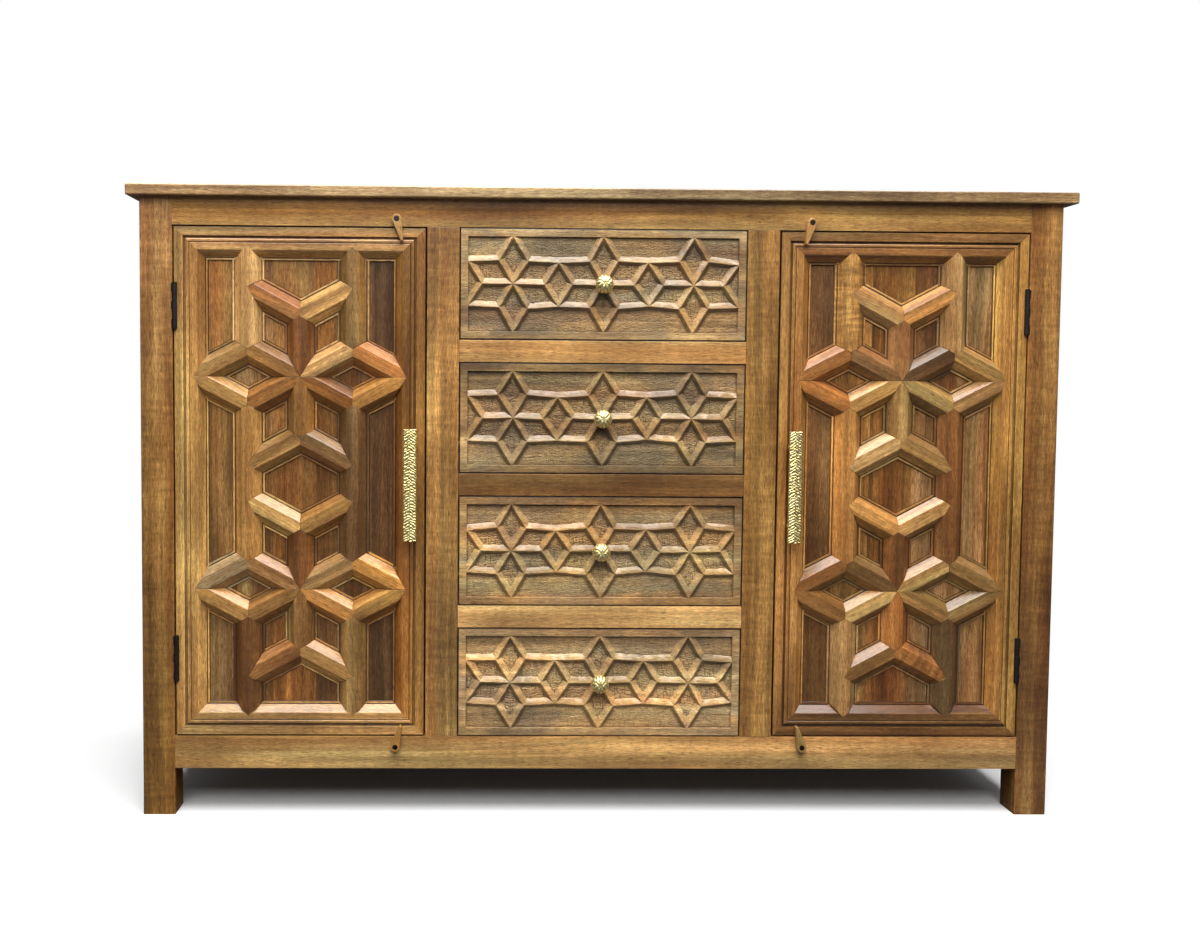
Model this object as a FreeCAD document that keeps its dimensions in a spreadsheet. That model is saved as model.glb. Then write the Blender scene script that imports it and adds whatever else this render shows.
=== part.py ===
import FreeCAD, Part
import math
import os

import Sketcher
from FreeCAD import Placement, Rotation, Vector

# Driving dimensions, in millimetres, degrees for the tilts and plain counts where the name says so
SIZES = {
    # Carcass
    "top_width": 1524, "top_depth": 432, "top_thickness": 18, "top_side_overhang": 19,
    "top_front_overhang": 12, "top_edge_round": 2.5,
    "leg_height": 1002, "leg_clear": 77, "post_width": 52, "post_depth": 50, "post_round": 2,
    "frame_thickness": 22, "top_rail_height": 45, "bottom_rail_height": 53,
    "stile_width": 52, "door_opening_width": 407, "drawer_rail_height": 36,
    "side_inset": 3, "side_panel_thickness": 12, "side_panel_inset": 9, "panel_tongue": 8,
    "back_panel_thickness": 8, "back_inset": 8,
    "bottom_thickness": 16, "partition_thickness": 18, "partition_lap": 6,
    "shelf_thickness": 16, "shelf_rise": 413, "shelf_setback": 40,
    "cleat_width": 18, "cleat_height": 20, "cleat_setback": 60,
    # Drawer runners
    "ledge_height": 18, "ledge_overlap": 14, "guide_rise": 25, "guide_clearance": 1,
    # Doors
    "door_gap": 1.5, "stop_clearance": 0.3,
    "strip_width": 18, "groove_width": 9, "groove_depth": 4.5, "moulding_face": 14,
    "bevel_width": 11, "bevel_drop": 12, "lip_width": 1.5, "lip_height": 2.5,
    "bar_face": 20, "rebate_width": 10,
    "door_corner_round": 6,
    # Hinges
    "hinge_height": 72, "hinge_setback": 127, "barrel_diameter": 8, "pin_diameter": 4,
    "pin_clearance": 0.05, "pin_inset": 2.5, "pin_forward": 2, "leaf_thickness": 1.4,
    "leaf_width": 18, "leaf_start": 4.4, "knuckle_gap": 0.4, "barrel_clearance": 0.4,
    "pin_head_height": 1.2,
    # Handles
    "handle_length": 180, "handle_width": 20.5, "handle_thickness": 5, "handle_standoff": 19,
    "handle_setback": 24, "handle_round": 1.2, "handle_post_diameter": 13,
    "handle_post_spacing": 128, "handle_screw_diameter": 4, "handle_screw_bite": 12,
    "screw_head_diameter": 8, "screw_head_height": 2.5,
    # Turn buttons
    "button_length": 36, "button_head_radius": 7.75, "button_tip_radius": 2.2,
    "button_thickness": 11, "button_clearance": 0.3, "button_edge": 0.8,
    "button_inboard": 47, "button_above": 12.5, "button_below": 16.5, "button_tilt": 14,
    "button_screw_diameter": 4, "button_screw_bite": 18, "button_screw_clearance": 0.06,
    "button_sink_diameter": 9, "button_sink_clearance": 0.15,
    # Drawers
    "rim_width": 12.5, "carve_depth": 5, "rib_width": 9,
    "box_side_clearance": 4, "box_height": 140, "box_back_clearance": 12.3, "box_side_thickness": 12,
    "box_back_drop": 12, "box_bottom_thickness": 5, "box_bottom_rise": 10, "box_groove": 5,
    "ride_clearance": 0.3,
    # Knobs
    "knob_diameter": 31, "knob_reach": 27, "knob_flat": 4, "knob_neck_diameter": 13,
    "knob_stud_diameter": 5, "knob_nut_width": 9, "knob_nut_height": 4, "knob_stud_tail": 2,
    "cut_overrun": 5,
}

# The lattice on each door, as shares of the half width and half height between moulding centre lines
COLUMN_SHARE = 0.494
STAR_ROW_SHARE = 0.452
RISE_SHARE = 0.118
CHEVRON_GAP_SHARE = 0.257
# Joints between the vertical planks behind the lattice, as shares of the panel's width
PLANK_JOINT_SHARES = (0.17, 0.355, 0.575, 0.79)
# The carved star, as a share of the distance between star centres
STAR_SLANT_SHARE = 0.157
# The two doors stand on either side of the drawers
SIDES = (("left", -1), ("right", 1))
STAR_COUNT = 3
DRAWER_COUNT = 4
KNUCKLE_COUNT = 5
# Angles in degrees, and the least difference between two directions
QUARTER_TURN = 90
HALF_TURN = 180
SAME_DIRECTION_SHARE = 1e-6

# Places worked out from the driving dimensions, as spreadsheet formulas
LAYOUT = {
    "half_body": "Sizes.top_width / 2 - Sizes.top_side_overhang",
    "body_depth": "Sizes.top_depth - Sizes.top_front_overhang",
    "handle_reach": "Sizes.handle_standoff + Sizes.handle_thickness",
    "front_reach": "max(Sizes.knob_reach; handle_reach)",
    "front": "(front_reach - body_depth) / 2",
    "back": "front + body_depth",
    "frame_back": "front + Sizes.frame_thickness",
    "post_back": "front + Sizes.post_depth",
    "back_post_front": "back - Sizes.post_depth",
    "back_panel_back": "back - Sizes.back_inset",
    "back_panel_front": "back_panel_back - Sizes.back_panel_thickness",
    "back_rail_front": "back_panel_front - Sizes.frame_thickness",
    "post_inner": "half_body - Sizes.post_width",
    "stile_outer": "post_inner - Sizes.door_opening_width",
    "stile_inner": "stile_outer - Sizes.stile_width",
    "side_outer": "half_body - Sizes.side_inset",
    "side_inner": "side_outer - Sizes.frame_thickness",
    "panel_outer": "half_body - Sizes.side_panel_inset",
    "panel_inner": "panel_outer - Sizes.side_panel_thickness",
    "partition_outer": "stile_outer + Sizes.partition_lap",
    "partition_inner": "partition_outer - Sizes.partition_thickness",
    "opening_base": "Sizes.leg_clear + Sizes.bottom_rail_height",
    "opening_top": "Sizes.leg_height - Sizes.top_rail_height",
    "opening_middle": "(opening_base + opening_top) / 2",
    "floor_top": "opening_base - Sizes.ledge_height",
    "floor_base": "floor_top - Sizes.bottom_thickness",
    "shelf_base": "opening_base + Sizes.shelf_rise - Sizes.shelf_thickness",
    "shelf_top": "opening_base + Sizes.shelf_rise",
    "cleat_base": "shelf_base - Sizes.cleat_height",
    "drawer_pitch": f"(opening_top - opening_base + Sizes.drawer_rail_height) / {DRAWER_COUNT}",
    "drawer_opening": "drawer_pitch - Sizes.drawer_rail_height",
    "door_thickness": "Sizes.frame_thickness - Sizes.stop_clearance",
    "door_back": "front + door_thickness",
    "door_outer": "post_inner - Sizes.door_gap",
    "door_inner": "stile_outer + Sizes.door_gap",
    "door_base": "opening_base + Sizes.door_gap",
    "door_top": "opening_top - Sizes.door_gap",
    "hinge_x": "door_outer - Sizes.pin_inset",
    "hinge_y": "front - Sizes.pin_forward",
    "button_x": "door_inner + Sizes.button_inboard",
    "button_back": "front - Sizes.button_clearance",
    "handle_x": "door_inner + Sizes.handle_setback",
    "box_half": "stile_inner - Sizes.box_side_clearance",
    "guide_inner": "box_half + Sizes.guide_clearance",
    "ledge_inner": "box_half - Sizes.ledge_overlap",
    "box_rear": "back_panel_front - Sizes.box_back_clearance",
}

doc = FreeCAD.newDocument("cabinet")


def fill_sheet(name, rows):
    """Makes a spreadsheet with one aliased value a row."""
    sheet = doc.addObject("Spreadsheet::Sheet", name)
    for row, (alias, value) in enumerate(rows.items(), start=1):
        sheet.set(f"A{row}", alias)
        sheet.set(f"B{row}", f"={value}" if isinstance(value, str) else str(value))
        sheet.setAlias(f"B{row}", alias)
    doc.recompute()
    return sheet


sizes_sheet = fill_sheet("Sizes", SIZES)
layout_sheet = fill_sheet("Layout", LAYOUT)


def size(alias):
    """Reads a named value from whichever sheet holds it."""
    sheet = sizes_sheet if alias in SIZES else layout_sheet
    return float(sheet.get(alias))


def expand(formula):
    """Puts the sheet's name before each alias of a formula."""
    words = formula.replace("(", " ( ").replace(")", " ) ").split()
    named = {alias: f"Sizes.{alias}" for alias in SIZES}
    named.update({alias: f"Layout.{alias}" for alias in LAYOUT})
    return " ".join(named.get(word, word) for word in words)


def bind(piece, prop, formula):
    """Ties one property of a piece to the sheets."""
    piece.setExpression(prop, expand(formula))


def block(name, x, y, z):
    """A square-cut piece between three pairs of planes, each pair a start and an end."""
    piece = doc.addObject("Part::Box", name)
    for axis, prop, (start, end) in zip("xyz", ("Length", "Width", "Height"), (x, y, z)):
        bind(piece, prop, f"( {end} ) - ( {start} )")
        bind(piece, f"Placement.Base.{axis}", start)
    return piece


def sided(sign, start, end):
    """A pair of planes on the right, or mirrored to the left."""
    return (start, end) if sign > 0 else (f"- ( {end} )", f"- ( {start} )")


def cut(name, base, tools):
    """A piece with other shapes taken out of it, one after another."""
    for index, tool in enumerate(tools):
        last = index == len(tools) - 1
        result = doc.addObject("Part::Cut", name if last else f"{name}_cut_{index}")
        result.Base = base
        result.Tool = tool
        base = result
    return base


def group(name, pieces):
    """Separate solids that share one name."""
    result = doc.addObject("Part::Compound", name)
    result.Links = pieces
    return result


def feature(name, shape):
    """A piece whose shape comes from Part's own functions."""
    piece = doc.addObject("Part::Feature", name)
    piece.Shape = shape
    piece.Placement = Placement()
    return piece


def origin_plane(body, role):
    """One of a body's own three planes."""
    return next(item for item in body.Origin.OriginFeatures if item.Role == role)


def start_sketch(body, name, plane):
    """An empty sketch on one of the body's own planes."""
    sketch = body.newObject("Sketcher::SketchObject", name)
    sketch.AttachmentSupport = [(origin_plane(body, plane), "")]
    sketch.MapMode = "FlatFace"
    return sketch


def rectangle(sketch, width, height):
    """A rectangle about the sketch's origin, its sides bound to two formulas."""
    half = [float(sketch.evalExpression(expand(side))) / 2 for side in (width, height)]
    corners = [Vector(half[0] * sx, half[1] * sy, 0) for sx, sy in ((-1, -1), (1, -1), (1, 1), (-1, 1))]
    for start, end in zip(corners, corners[1:] + corners[:1]):
        sketch.addGeometry(Part.LineSegment(start, end), False)
    for line in range(4):
        sketch.addConstraint(Sketcher.Constraint("Coincident", line, 2, (line + 1) % 4, 1))
        sketch.addConstraint(Sketcher.Constraint("Vertical" if line % 2 else "Horizontal", line))
    sketch.addConstraint(Sketcher.Constraint("Symmetric", 0, 1, 1, 2, -1, 1))
    across = sketch.addConstraint(Sketcher.Constraint("DistanceX", 0, 1, 0, 2, 2 * half[0]))
    along = sketch.addConstraint(Sketcher.Constraint("DistanceY", 1, 1, 1, 2, 2 * half[1]))
    sketch.setExpression(f"Constraints[{across}]", expand(width))
    sketch.setExpression(f"Constraints[{along}]", expand(height))


def pad(body, sketch, name, length):
    """Gives a sketch its thickness."""
    result = body.newObject("PartDesign::Pad", name)
    result.Profile = sketch
    bind(result, "Length", length)
    sketch.Visibility = False
    doc.recompute()
    return result


def round_edges(body, base, name, radius, wanted):
    """Rounds the edges that a test picks."""
    names = [f"Edge{i}" for i, edge in enumerate(base.Shape.Edges, start=1) if wanted(edge)]
    result = body.newObject("PartDesign::Fillet", name)
    result.Base = (base, names)
    bind(result, "Radius", radius)
    doc.recompute()
    return result


def place_body(body, x, y, z):
    """Puts a body where three formulas say."""
    for axis, formula in zip("xyz", (x, y, z)):
        bind(body, f"Placement.Base.{axis}", formula)


def is_upright(edge):
    """Whether an edge runs along Z."""
    low, high = edge.BoundBox.ZMin, edge.BoundBox.ZMax
    return high - low > max(edge.BoundBox.XLength, edge.BoundBox.YLength)


def any_edge(_):
    """Picks every edge."""
    return True


def rounded_board(name, width, depth, height, place, radius, wanted=is_upright):
    """A sawn board with its long edges eased."""
    body = doc.addObject("PartDesign::Body", name)
    sketch = start_sketch(body, f"{name}_outline", "XY_Plane")
    rectangle(sketch, width, depth)
    solid = pad(body, sketch, f"{name}_pad", height)
    round_edges(body, solid, f"{name}_ease", radius, wanted)
    place_body(body, *place)
    return body


def plate(points, near, far):
    """A flat plate with its outline in the front plane, from one depth to another."""
    ring = [Vector(x, near, z) for x, z in points]
    return Part.Face(Part.makePolygon(ring + ring[:1])).extrude(Vector(0, far - near, 0))


def cuboid(x, y, z):
    """A box between three pairs of numbers, each in either order."""
    low = [min(pair) for pair in (x, y, z)]
    high = [max(pair) for pair in (x, y, z)]
    return Part.makeBox(high[0] - low[0], high[1] - low[1], high[2] - low[2], Vector(*low))


def upright_cylinder(radius, x, y, z_low, z_high):
    """A cylinder along Z."""
    return Part.makeCylinder(radius, z_high - z_low, Vector(x, y, z_low))


def level_cylinder(radius, x, z, y_near, y_far):
    """A cylinder along Y."""
    return Part.makeCylinder(radius, y_far - y_near, Vector(x, y_near, z), Vector(0, 1, 0))


def clipped(points, origin, normal):
    """What is left of a convex outline on the side of a line that its normal points to."""
    side = [(x - origin[0]) * normal[0] + (z - origin[1]) * normal[1] for x, z in points]
    kept = []
    for i, (x, z) in enumerate(points):
        before_x, before_z = points[i - 1]
        if (side[i] > 0) != (side[i - 1] > 0):
            share = side[i - 1] / (side[i - 1] - side[i])
            kept.append((before_x + share * (x - before_x), before_z + share * (z - before_z)))
        if side[i] > 0:
            kept.append((x, z))
    return kept


# Hinges

def hinge_centres():
    """The height of each hinge's middle, the lower first."""
    return (size("door_base") + size("hinge_setback"), size("door_top") - size("hinge_setback"))


def knuckle_spans(middle, first):
    """The heights of every second knuckle of a hinge, from the first or the second."""
    base = middle - size("hinge_height") / 2
    pitch = size("hinge_height") / KNUCKLE_COUNT
    gap = size("knuckle_gap") / 2
    return [(base + i * pitch + gap, base + (i + 1) * pitch - gap) for i in range(first, KNUCKLE_COUNT, 2)]


def hinge_leaf(sign, middle, leaf_x, web_x, first, bore):
    """One leaf with its knuckles, curled round the pin's axis."""
    x, y = sign * size("hinge_x"), size("hinge_y")
    half = size("hinge_height") / 2
    start = y + size("leaf_start")
    depth = (start, start + size("leaf_width"))
    leaf = cuboid([sign * v for v in leaf_x], depth, (middle - half, middle + half))
    for low, high in knuckle_spans(middle, first):
        leaf = leaf.fuse(upright_cylinder(size("barrel_diameter") / 2, x, y, low, high))
        leaf = leaf.fuse(cuboid([sign * v for v in web_x], (y, start), (low, high)))
    hole = upright_cylinder(bore / 2, x, y, middle - size("hinge_height"), middle + size("hinge_height"))
    return leaf.cut(hole).removeSplitter()


def frame_leaf(sign, middle):
    """The leaf let into the post, whose knuckles grip the pin."""
    wall = size("post_inner")
    outer = wall + size("leaf_thickness")
    web = (outer, size("door_outer") + size("stop_clearance"))
    return hinge_leaf(sign, middle, (wall, outer), web, 0, size("pin_diameter"))


def door_leaf(sign, middle):
    """The leaf let into the door's edge, whose knuckles turn on the pin."""
    edge = size("door_outer")
    inner = edge - size("leaf_thickness")
    bore = size("pin_diameter") + 2 * size("pin_clearance")
    return hinge_leaf(sign, middle, (inner, edge), (inner, edge), 1, bore)


def hinge_pin(sign, middle):
    """A pin with a small head above and below its barrel."""
    x, y = sign * size("hinge_x"), size("hinge_y")
    half = size("hinge_height") / 2
    head = size("pin_head_height")
    pin = upright_cylinder(size("pin_diameter") / 2, x, y, middle - half - head, middle + half + head)
    head_radius = size("barrel_diameter") / 2 - size("knuckle_gap")
    for low in (middle - half - head, middle + half):
        pin = pin.fuse(upright_cylinder(head_radius, x, y, low, low + head))
    return pin.removeSplitter()


def barrel_space(sign, middle):
    """The room that a hinge's barrel and pin heads need in the door's edge."""
    half = size("hinge_height") / 2 + size("pin_head_height") + size("barrel_clearance")
    radius = size("barrel_diameter") / 2 + size("barrel_clearance")
    return upright_cylinder(radius, sign * size("hinge_x"), size("hinge_y"), middle - half, middle + half)


# Doors: a mitred moulded frame and a lattice of bevelled bars, all of one section

def section_points():
    """Half of a bar's section from its foot to its face, as distance from the axis and depth."""
    face = size("bar_face") / 2
    drop = size("bevel_drop")
    foot = drop + size("lip_height")
    ledge = face + size("bevel_width")
    rim = ledge + size("lip_width")
    return [(rim, foot), (rim, drop), (ledge, drop), (face, 0)]


def moulding_reach():
    """The distance from a door's edge to the line that the bars end on."""
    width = size("strip_width") + size("groove_width") + size("moulding_face")
    return width - size("bar_face") / 2


def frame_reach():
    """The distance from a door's edge to the inner edge of its frame."""
    return moulding_reach() + section_points()[0][0]


def frame_section():
    """The frame's section, as distance in from the door's edge and depth from its face."""
    strip = size("strip_width")
    groove = size("groove_width")
    reach = moulding_reach()
    inner = [(reach + across, depth) for across, depth in reversed(section_points())]
    foot = inner[-1][1]
    rebate = frame_reach() - size("rebate_width")
    thickness = size("door_thickness")
    outline = [(0, 0), (strip, 0), (strip + groove / 2, size("groove_depth")), (strip + groove, 0)]
    return outline + inner + [(rebate, foot), (rebate, thickness), (0, thickness)]


def door_box(sign):
    """A door's left, right, bottom and top edges."""
    edges = sorted((sign * size("door_inner"), sign * size("door_outer")))
    return edges[0], edges[1], size("door_base"), size("door_top")


def frame_members(sign):
    """The four mitred members of a door's frame."""
    left, right, base, top = door_box(sign)
    front = size("front")
    reach = frame_reach()
    inner_x, inner_z = (left + reach, right - reach), (base + reach, top - reach)
    inner = list(zip(inner_x + inner_x[::-1], (inner_z[0], inner_z[0], inner_z[1], inner_z[1])))
    members = []
    for start, inward, run, outline in (
        ((left, base), (1, 0), (0, top - base), [(left, base), inner[0], inner[3], (left, top)]),
        ((right, base), (-1, 0), (0, top - base), [(right, base), inner[1], inner[2], (right, top)]),
        ((left, base), (0, 1), (right - left, 0), [(left, base), inner[0], inner[1], (right, base)]),
        ((left, top), (0, -1), (right - left, 0), [(left, top), inner[3], inner[2], (right, top)]),
    ):
        x, z = start
        ring = [Vector(x + inward[0] * u, front + v, z + inward[1] * u) for u, v in frame_section()]
        bar = Part.Face(Part.makePolygon(ring + ring[:1])).extrude(Vector(run[0], 0, run[1]))
        members.append(bar.common(plate(outline, front, size("door_back"))))
    return members


def corner_waste():
    """What is taken off the left door's lower corner beside the drawers, which alone is rounded."""
    _, right, base, _ = door_box(-1)
    front, back = size("front"), size("door_back")
    radius = size("door_corner_round")
    square = cuboid((right - radius, right), (front, back), (base, base + radius))
    return square.cut(level_cylinder(radius, right - radius, base + radius, front, back))


def lattice(sign):
    """The joints and bars of a door's lattice: each bar a pair of joints, each joint a place."""
    left, right, base, top = door_box(sign)
    middle_x, middle_z = (left + right) / 2, (base + top) / 2
    half_x = (right - left) / 2 - moulding_reach()
    half_z = (top - base) / 2 - moulding_reach()
    column = COLUMN_SHARE * half_x
    row = STAR_ROW_SHARE * half_z
    rise = RISE_SHARE * half_z
    gap = CHEVRON_GAP_SHARE * half_z

    def joint(across, up):
        return (middle_x + across, middle_z + up)

    bars = []
    for up in (-1, 1):
        centre = joint(0, up * row)
        for away in (-1, 1):
            tip = joint(away * half_x, up * row)
            for slope in (-1, 1):
                corner = joint(away * column, up * row + slope * rise)
                bars += [(centre, corner), (corner, tip)]
        for slope in (-1, 1):
            apex = joint(0, up * row + slope * gap)
            bars.append((centre, apex))
            for away in (-1, 1):
                bars.append((apex, joint(away * column, up * row + slope * (gap + rise))))
    for away in (-1, 1):
        bars.append((joint(away * column, -half_z), joint(away * column, -row - rise)))
        bars.append((joint(away * column, rise - row), joint(away * column, row - rise)))
        bars.append((joint(away * column, row + rise), joint(away * column, half_z)))
    (low_x, low_z), (high_x, high_z) = joint(-half_x, -half_z), joint(half_x, half_z)
    return bars, (low_x, high_x, low_z, high_z)


def unit(start, end):
    """The direction from one joint to another."""
    length = math.hypot(end[0] - start[0], end[1] - start[1])
    return ((end[0] - start[0]) / length, (end[1] - start[1]) / length)


def passes_through(joint, bar):
    """Whether an upright bar runs past a joint on its side."""
    (x0, z0), (x1, z1) = bar
    return joint not in bar and x0 == x1 == joint[0] and min(z0, z1) < joint[1] < max(z0, z1)


def directions_at(joint, bars, field):
    """The directions in which bars and moulding leave a joint."""
    found = [unit(joint, bar[1 - bar.index(joint)]) for bar in bars if joint in bar]
    if any(passes_through(joint, bar) for bar in bars):
        found += [(0, 1), (0, -1)]
    if joint[0] in field[:2]:
        found += [(0, 1), (0, -1)]
    if joint[1] in field[2:]:
        found += [(1, 0), (-1, 0)]
    return found


def bar_cell(bar, bars, field):
    """The outline of one bar, mitred against everything that it meets."""
    start, end = bar
    along = unit(start, end)
    across = (-along[1], along[0])
    half = section_points()[0][0]
    corners = []
    for joint, way in ((start, -1), (end, 1)):
        for side in (way, -way):
            x = joint[0] + along[0] * way * half + across[0] * side * half
            z = joint[1] + along[1] * way * half + across[1] * side * half
            corners.append((x, z))
    cell = corners
    for joint, way in ((start, along), (end, (-along[0], -along[1]))):
        for other in directions_at(joint, bars, field):
            turn = (way[0] - other[0], way[1] - other[1])
            if math.hypot(*turn) > SAME_DIRECTION_SHARE:
                cell = clipped(cell, joint, turn)
    return cell


def bar_solid(bar, cell):
    """One bevelled bar, cut to its cell."""
    start, end = bar
    along = unit(start, end)
    across = (-along[1], along[0])
    half = section_points()[0][0]
    front = size("front")
    side = section_points()
    section = [(-u, v) for u, v in side] + list(reversed(side))
    x = start[0] - along[0] * half
    z = start[1] - along[1] * half
    ring = [Vector(x + across[0] * u, front + v, z + across[1] * u) for u, v in section]
    length = math.hypot(end[0] - start[0], end[1] - start[1]) + 2 * half
    run = Vector(along[0] * length, 0, along[1] * length)
    prism = Part.Face(Part.makePolygon(ring + ring[:1])).extrude(run)
    return prism.common(plate(cell, front, front + side[0][1]))


def door_pieces(sign):
    """A door's frame members and lattice bars, fitted to each other and to the hinges."""
    bars, field = lattice(sign)
    front = size("front")
    foot = section_points()[0][1]
    cells = [bar_cell(bar, bars, field) for bar in bars]
    members = frame_members(sign)
    solids = []
    for bar, cell in zip(bars, cells):
        solid = bar_solid(bar, cell)
        for other, other_cell in zip(bars, cells):
            if any(passes_through(joint, bar) for joint in other):
                solid = solid.cut(plate(other_cell, front, front + foot))
        solids.append(solid)
        if any(joint[0] in field[:2] or joint[1] in field[2:] for joint in bar):
            members = [member.cut(plate(cell, front, front + foot)) for member in members]
    for middle in hinge_centres():
        leaf = door_leaf(sign, middle)
        space = barrel_space(sign, middle)
        members = [member.cut(space).cut(leaf) for member in members]
    for shank in handle_screw_shanks(sign):
        members = [member.cut(shank) for member in members]
    if sign < 0:
        members = [member.cut(corner_waste()) for member in members]
    return members, solids


def door_planks(sign):
    """The vertical planks behind the lattice, edge to edge in the frame's rebate."""
    left, right, base, top = door_box(sign)
    inset = frame_reach() - size("rebate_width")
    foot = size("front") + section_points()[0][1]
    width = right - left - 2 * inset
    joints = [left + inset + share * width for share in (0, *PLANK_JOINT_SHARES, 1)]
    depth = (foot, size("door_back"))
    height = (base + inset, top - inset)
    return [cuboid(pair, depth, height) for pair in zip(joints, joints[1:])]


# Handles

def handle_post_heights():
    """The heights of a handle's two posts."""
    middle = size("opening_middle")
    half = size("handle_post_spacing") / 2
    return (middle - half, middle + half)


def handle_screw_shanks(sign):
    """The two screw shanks that go through a door into its handle's posts."""
    near = size("front") - size("handle_screw_bite")
    radius = size("handle_screw_diameter") / 2
    x = sign * size("handle_x")
    return [level_cylinder(radius, x, z, near, size("door_back")) for z in handle_post_heights()]


def handle_screws(sign):
    """Two screws with heads on the door's back."""
    back = size("door_back")
    radius = size("screw_head_diameter") / 2
    x = sign * size("handle_x")
    rear = back + size("screw_head_height")
    heads = [level_cylinder(radius, x, z, back, rear) for z in handle_post_heights()]
    return [shank.fuse(head) for shank, head in zip(handle_screw_shanks(sign), heads)]


def make_handle(side, sign):
    """A flat bar on two round posts, bored for its screws."""
    name = f"door_{side}_handle"
    body = doc.addObject("PartDesign::Body", f"{name}_bar")
    sketch = start_sketch(body, f"{name}_outline", "XZ_Plane")
    rectangle(sketch, "handle_width", "handle_length")
    bar = pad(body, sketch, f"{name}_pad", "handle_thickness")
    round_edges(body, bar, f"{name}_ease", "handle_round", any_edge)
    x = f"{sign} * handle_x"
    place_body(body, x, "front - handle_standoff", "opening_middle")
    posts = []
    for index, way in enumerate((-1, 1)):
        post = doc.addObject("Part::Cylinder", f"{name}_post_{index}")
        bind(post, "Radius", "handle_post_diameter / 2")
        bind(post, "Height", "handle_standoff + handle_thickness / 2")
        post.Placement = Placement(Vector(), Rotation(Vector(1, 0, 0), QUARTER_TURN))
        place_body(post, x, "front", f"opening_middle + {way} * handle_post_spacing / 2")
        posts.append(post)
    whole = doc.addObject("Part::MultiFuse", f"{name}_whole")
    whole.Shapes = [body, *posts]
    return cut(name, whole, [feature(f"{name}_bores", Part.Compound(handle_screw_shanks(sign)))])


# Turn buttons

def button_places():
    """Each turn button's name, place, and tilt from hanging straight down."""
    places = []
    for side, sign in SIDES:
        x = f"{sign} * button_x"
        places.append((f"upper_{side}", x, "door_top + button_above", f"{sign} * button_tilt"))
        places.append((
            f"lower_{side}", x, "door_base - button_below", f"{sign} * ( {HALF_TURN} - button_tilt )",
        ))
    return places


def value_of(formula):
    """The number that a formula gives."""
    return float(layout_sheet.evalExpression(expand(formula)))


def make_button(name, x, z, tilt):
    """A teardrop of wood, bored and countersunk for its screw."""
    body = doc.addObject("PartDesign::Body", f"{name}_blank")
    sketch = start_sketch(body, f"{name}_outline", "XZ_Plane")
    head, tip = size("button_head_radius"), size("button_tip_radius")
    reach = size("button_length") - tip
    lean = math.asin((head - tip) / reach)
    turn = math.pi
    down = Vector(0, -reach, 0)
    normal = Vector(0, 0, 1)
    head_arc = Part.ArcOfCircle(Part.Circle(Vector(), normal, head), -lean, turn + lean)
    tip_arc = Part.ArcOfCircle(Part.Circle(down, normal, tip), turn + lean, 2 * turn - lean)
    right = Part.LineSegment(head_arc.StartPoint, tip_arc.EndPoint)
    left = Part.LineSegment(tip_arc.StartPoint, head_arc.EndPoint)
    for piece in (head_arc, right, tip_arc, left):
        sketch.addGeometry(piece, False)
    for first, second in (((0, 1), (1, 1)), ((1, 2), (2, 2)), ((2, 1), (3, 1)), ((3, 2), (0, 2))):
        sketch.addConstraint(Sketcher.Constraint("Tangent", *first, *second))
    sketch.addConstraint(Sketcher.Constraint("Coincident", 0, 3, -1, 1))
    sketch.addConstraint(Sketcher.Constraint("PointOnObject", 2, 3, -2))
    for formula, constraint in (
        ("button_head_radius", Sketcher.Constraint("Radius", 0, head)),
        ("button_tip_radius", Sketcher.Constraint("Radius", 2, tip)),
        ("button_length - button_tip_radius", Sketcher.Constraint("DistanceY", 2, 3, 0, 3, reach)),
    ):
        number = sketch.addConstraint(constraint)
        sketch.setExpression(f"Constraints[{number}]", expand(formula))
    solid = pad(body, sketch, f"{name}_pad", "button_thickness")
    face = solid.Shape.BoundBox.YMin
    rim = [
        f"Edge{i}" for i, edge in enumerate(solid.Shape.Edges, start=1)
        if edge.BoundBox.YMax < face + size("button_edge")
    ]
    chamfer = body.newObject("PartDesign::Chamfer", f"{name}_ease")
    chamfer.Base = (solid, rim)
    bind(chamfer, "Size", "button_edge")
    body.Placement = Placement(Vector(), Rotation(Vector(0, 1, 0), value_of(tilt)))
    place_body(body, x, "button_back", z)
    bore = doc.addObject("Part::Cylinder", f"{name}_bore")
    bind(bore, "Radius", "button_screw_diameter / 2 + button_screw_clearance")
    bind(bore, "Height", "button_thickness + 2 * cut_overrun")
    sink = doc.addObject("Part::Cone", f"{name}_sink")
    bind(sink, "Radius1", "button_screw_diameter / 2")
    bind(sink, "Radius2", "button_sink_diameter / 2")
    bind(sink, "Height", "( button_sink_diameter - button_screw_diameter ) / 2")
    for tool, y in (
        (bore, "button_back + cut_overrun"),
        (sink, "button_back - button_thickness + ( button_sink_diameter - button_screw_diameter ) / 2"),
    ):
        tool.Placement = Placement(Vector(), Rotation(Vector(1, 0, 0), QUARTER_TURN))
        place_body(tool, x, y, z)
    return cut(name, body, [bore, sink])


def button_screw(x, z):
    """A countersunk screw through a turn button into the rail."""
    face = size("button_back") - size("button_thickness")
    shank = size("button_screw_diameter") / 2
    head = size("button_sink_diameter") / 2 - size("button_sink_clearance")
    start = face + size("button_sink_clearance")
    stem = level_cylinder(shank, x, z, start, size("front") + size("button_screw_bite"))
    cone = Part.makeCone(head, shank, head - shank, Vector(x, start, z), Vector(0, 1, 0))
    return stem.fuse(cone).removeSplitter()


# Drawers

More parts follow.
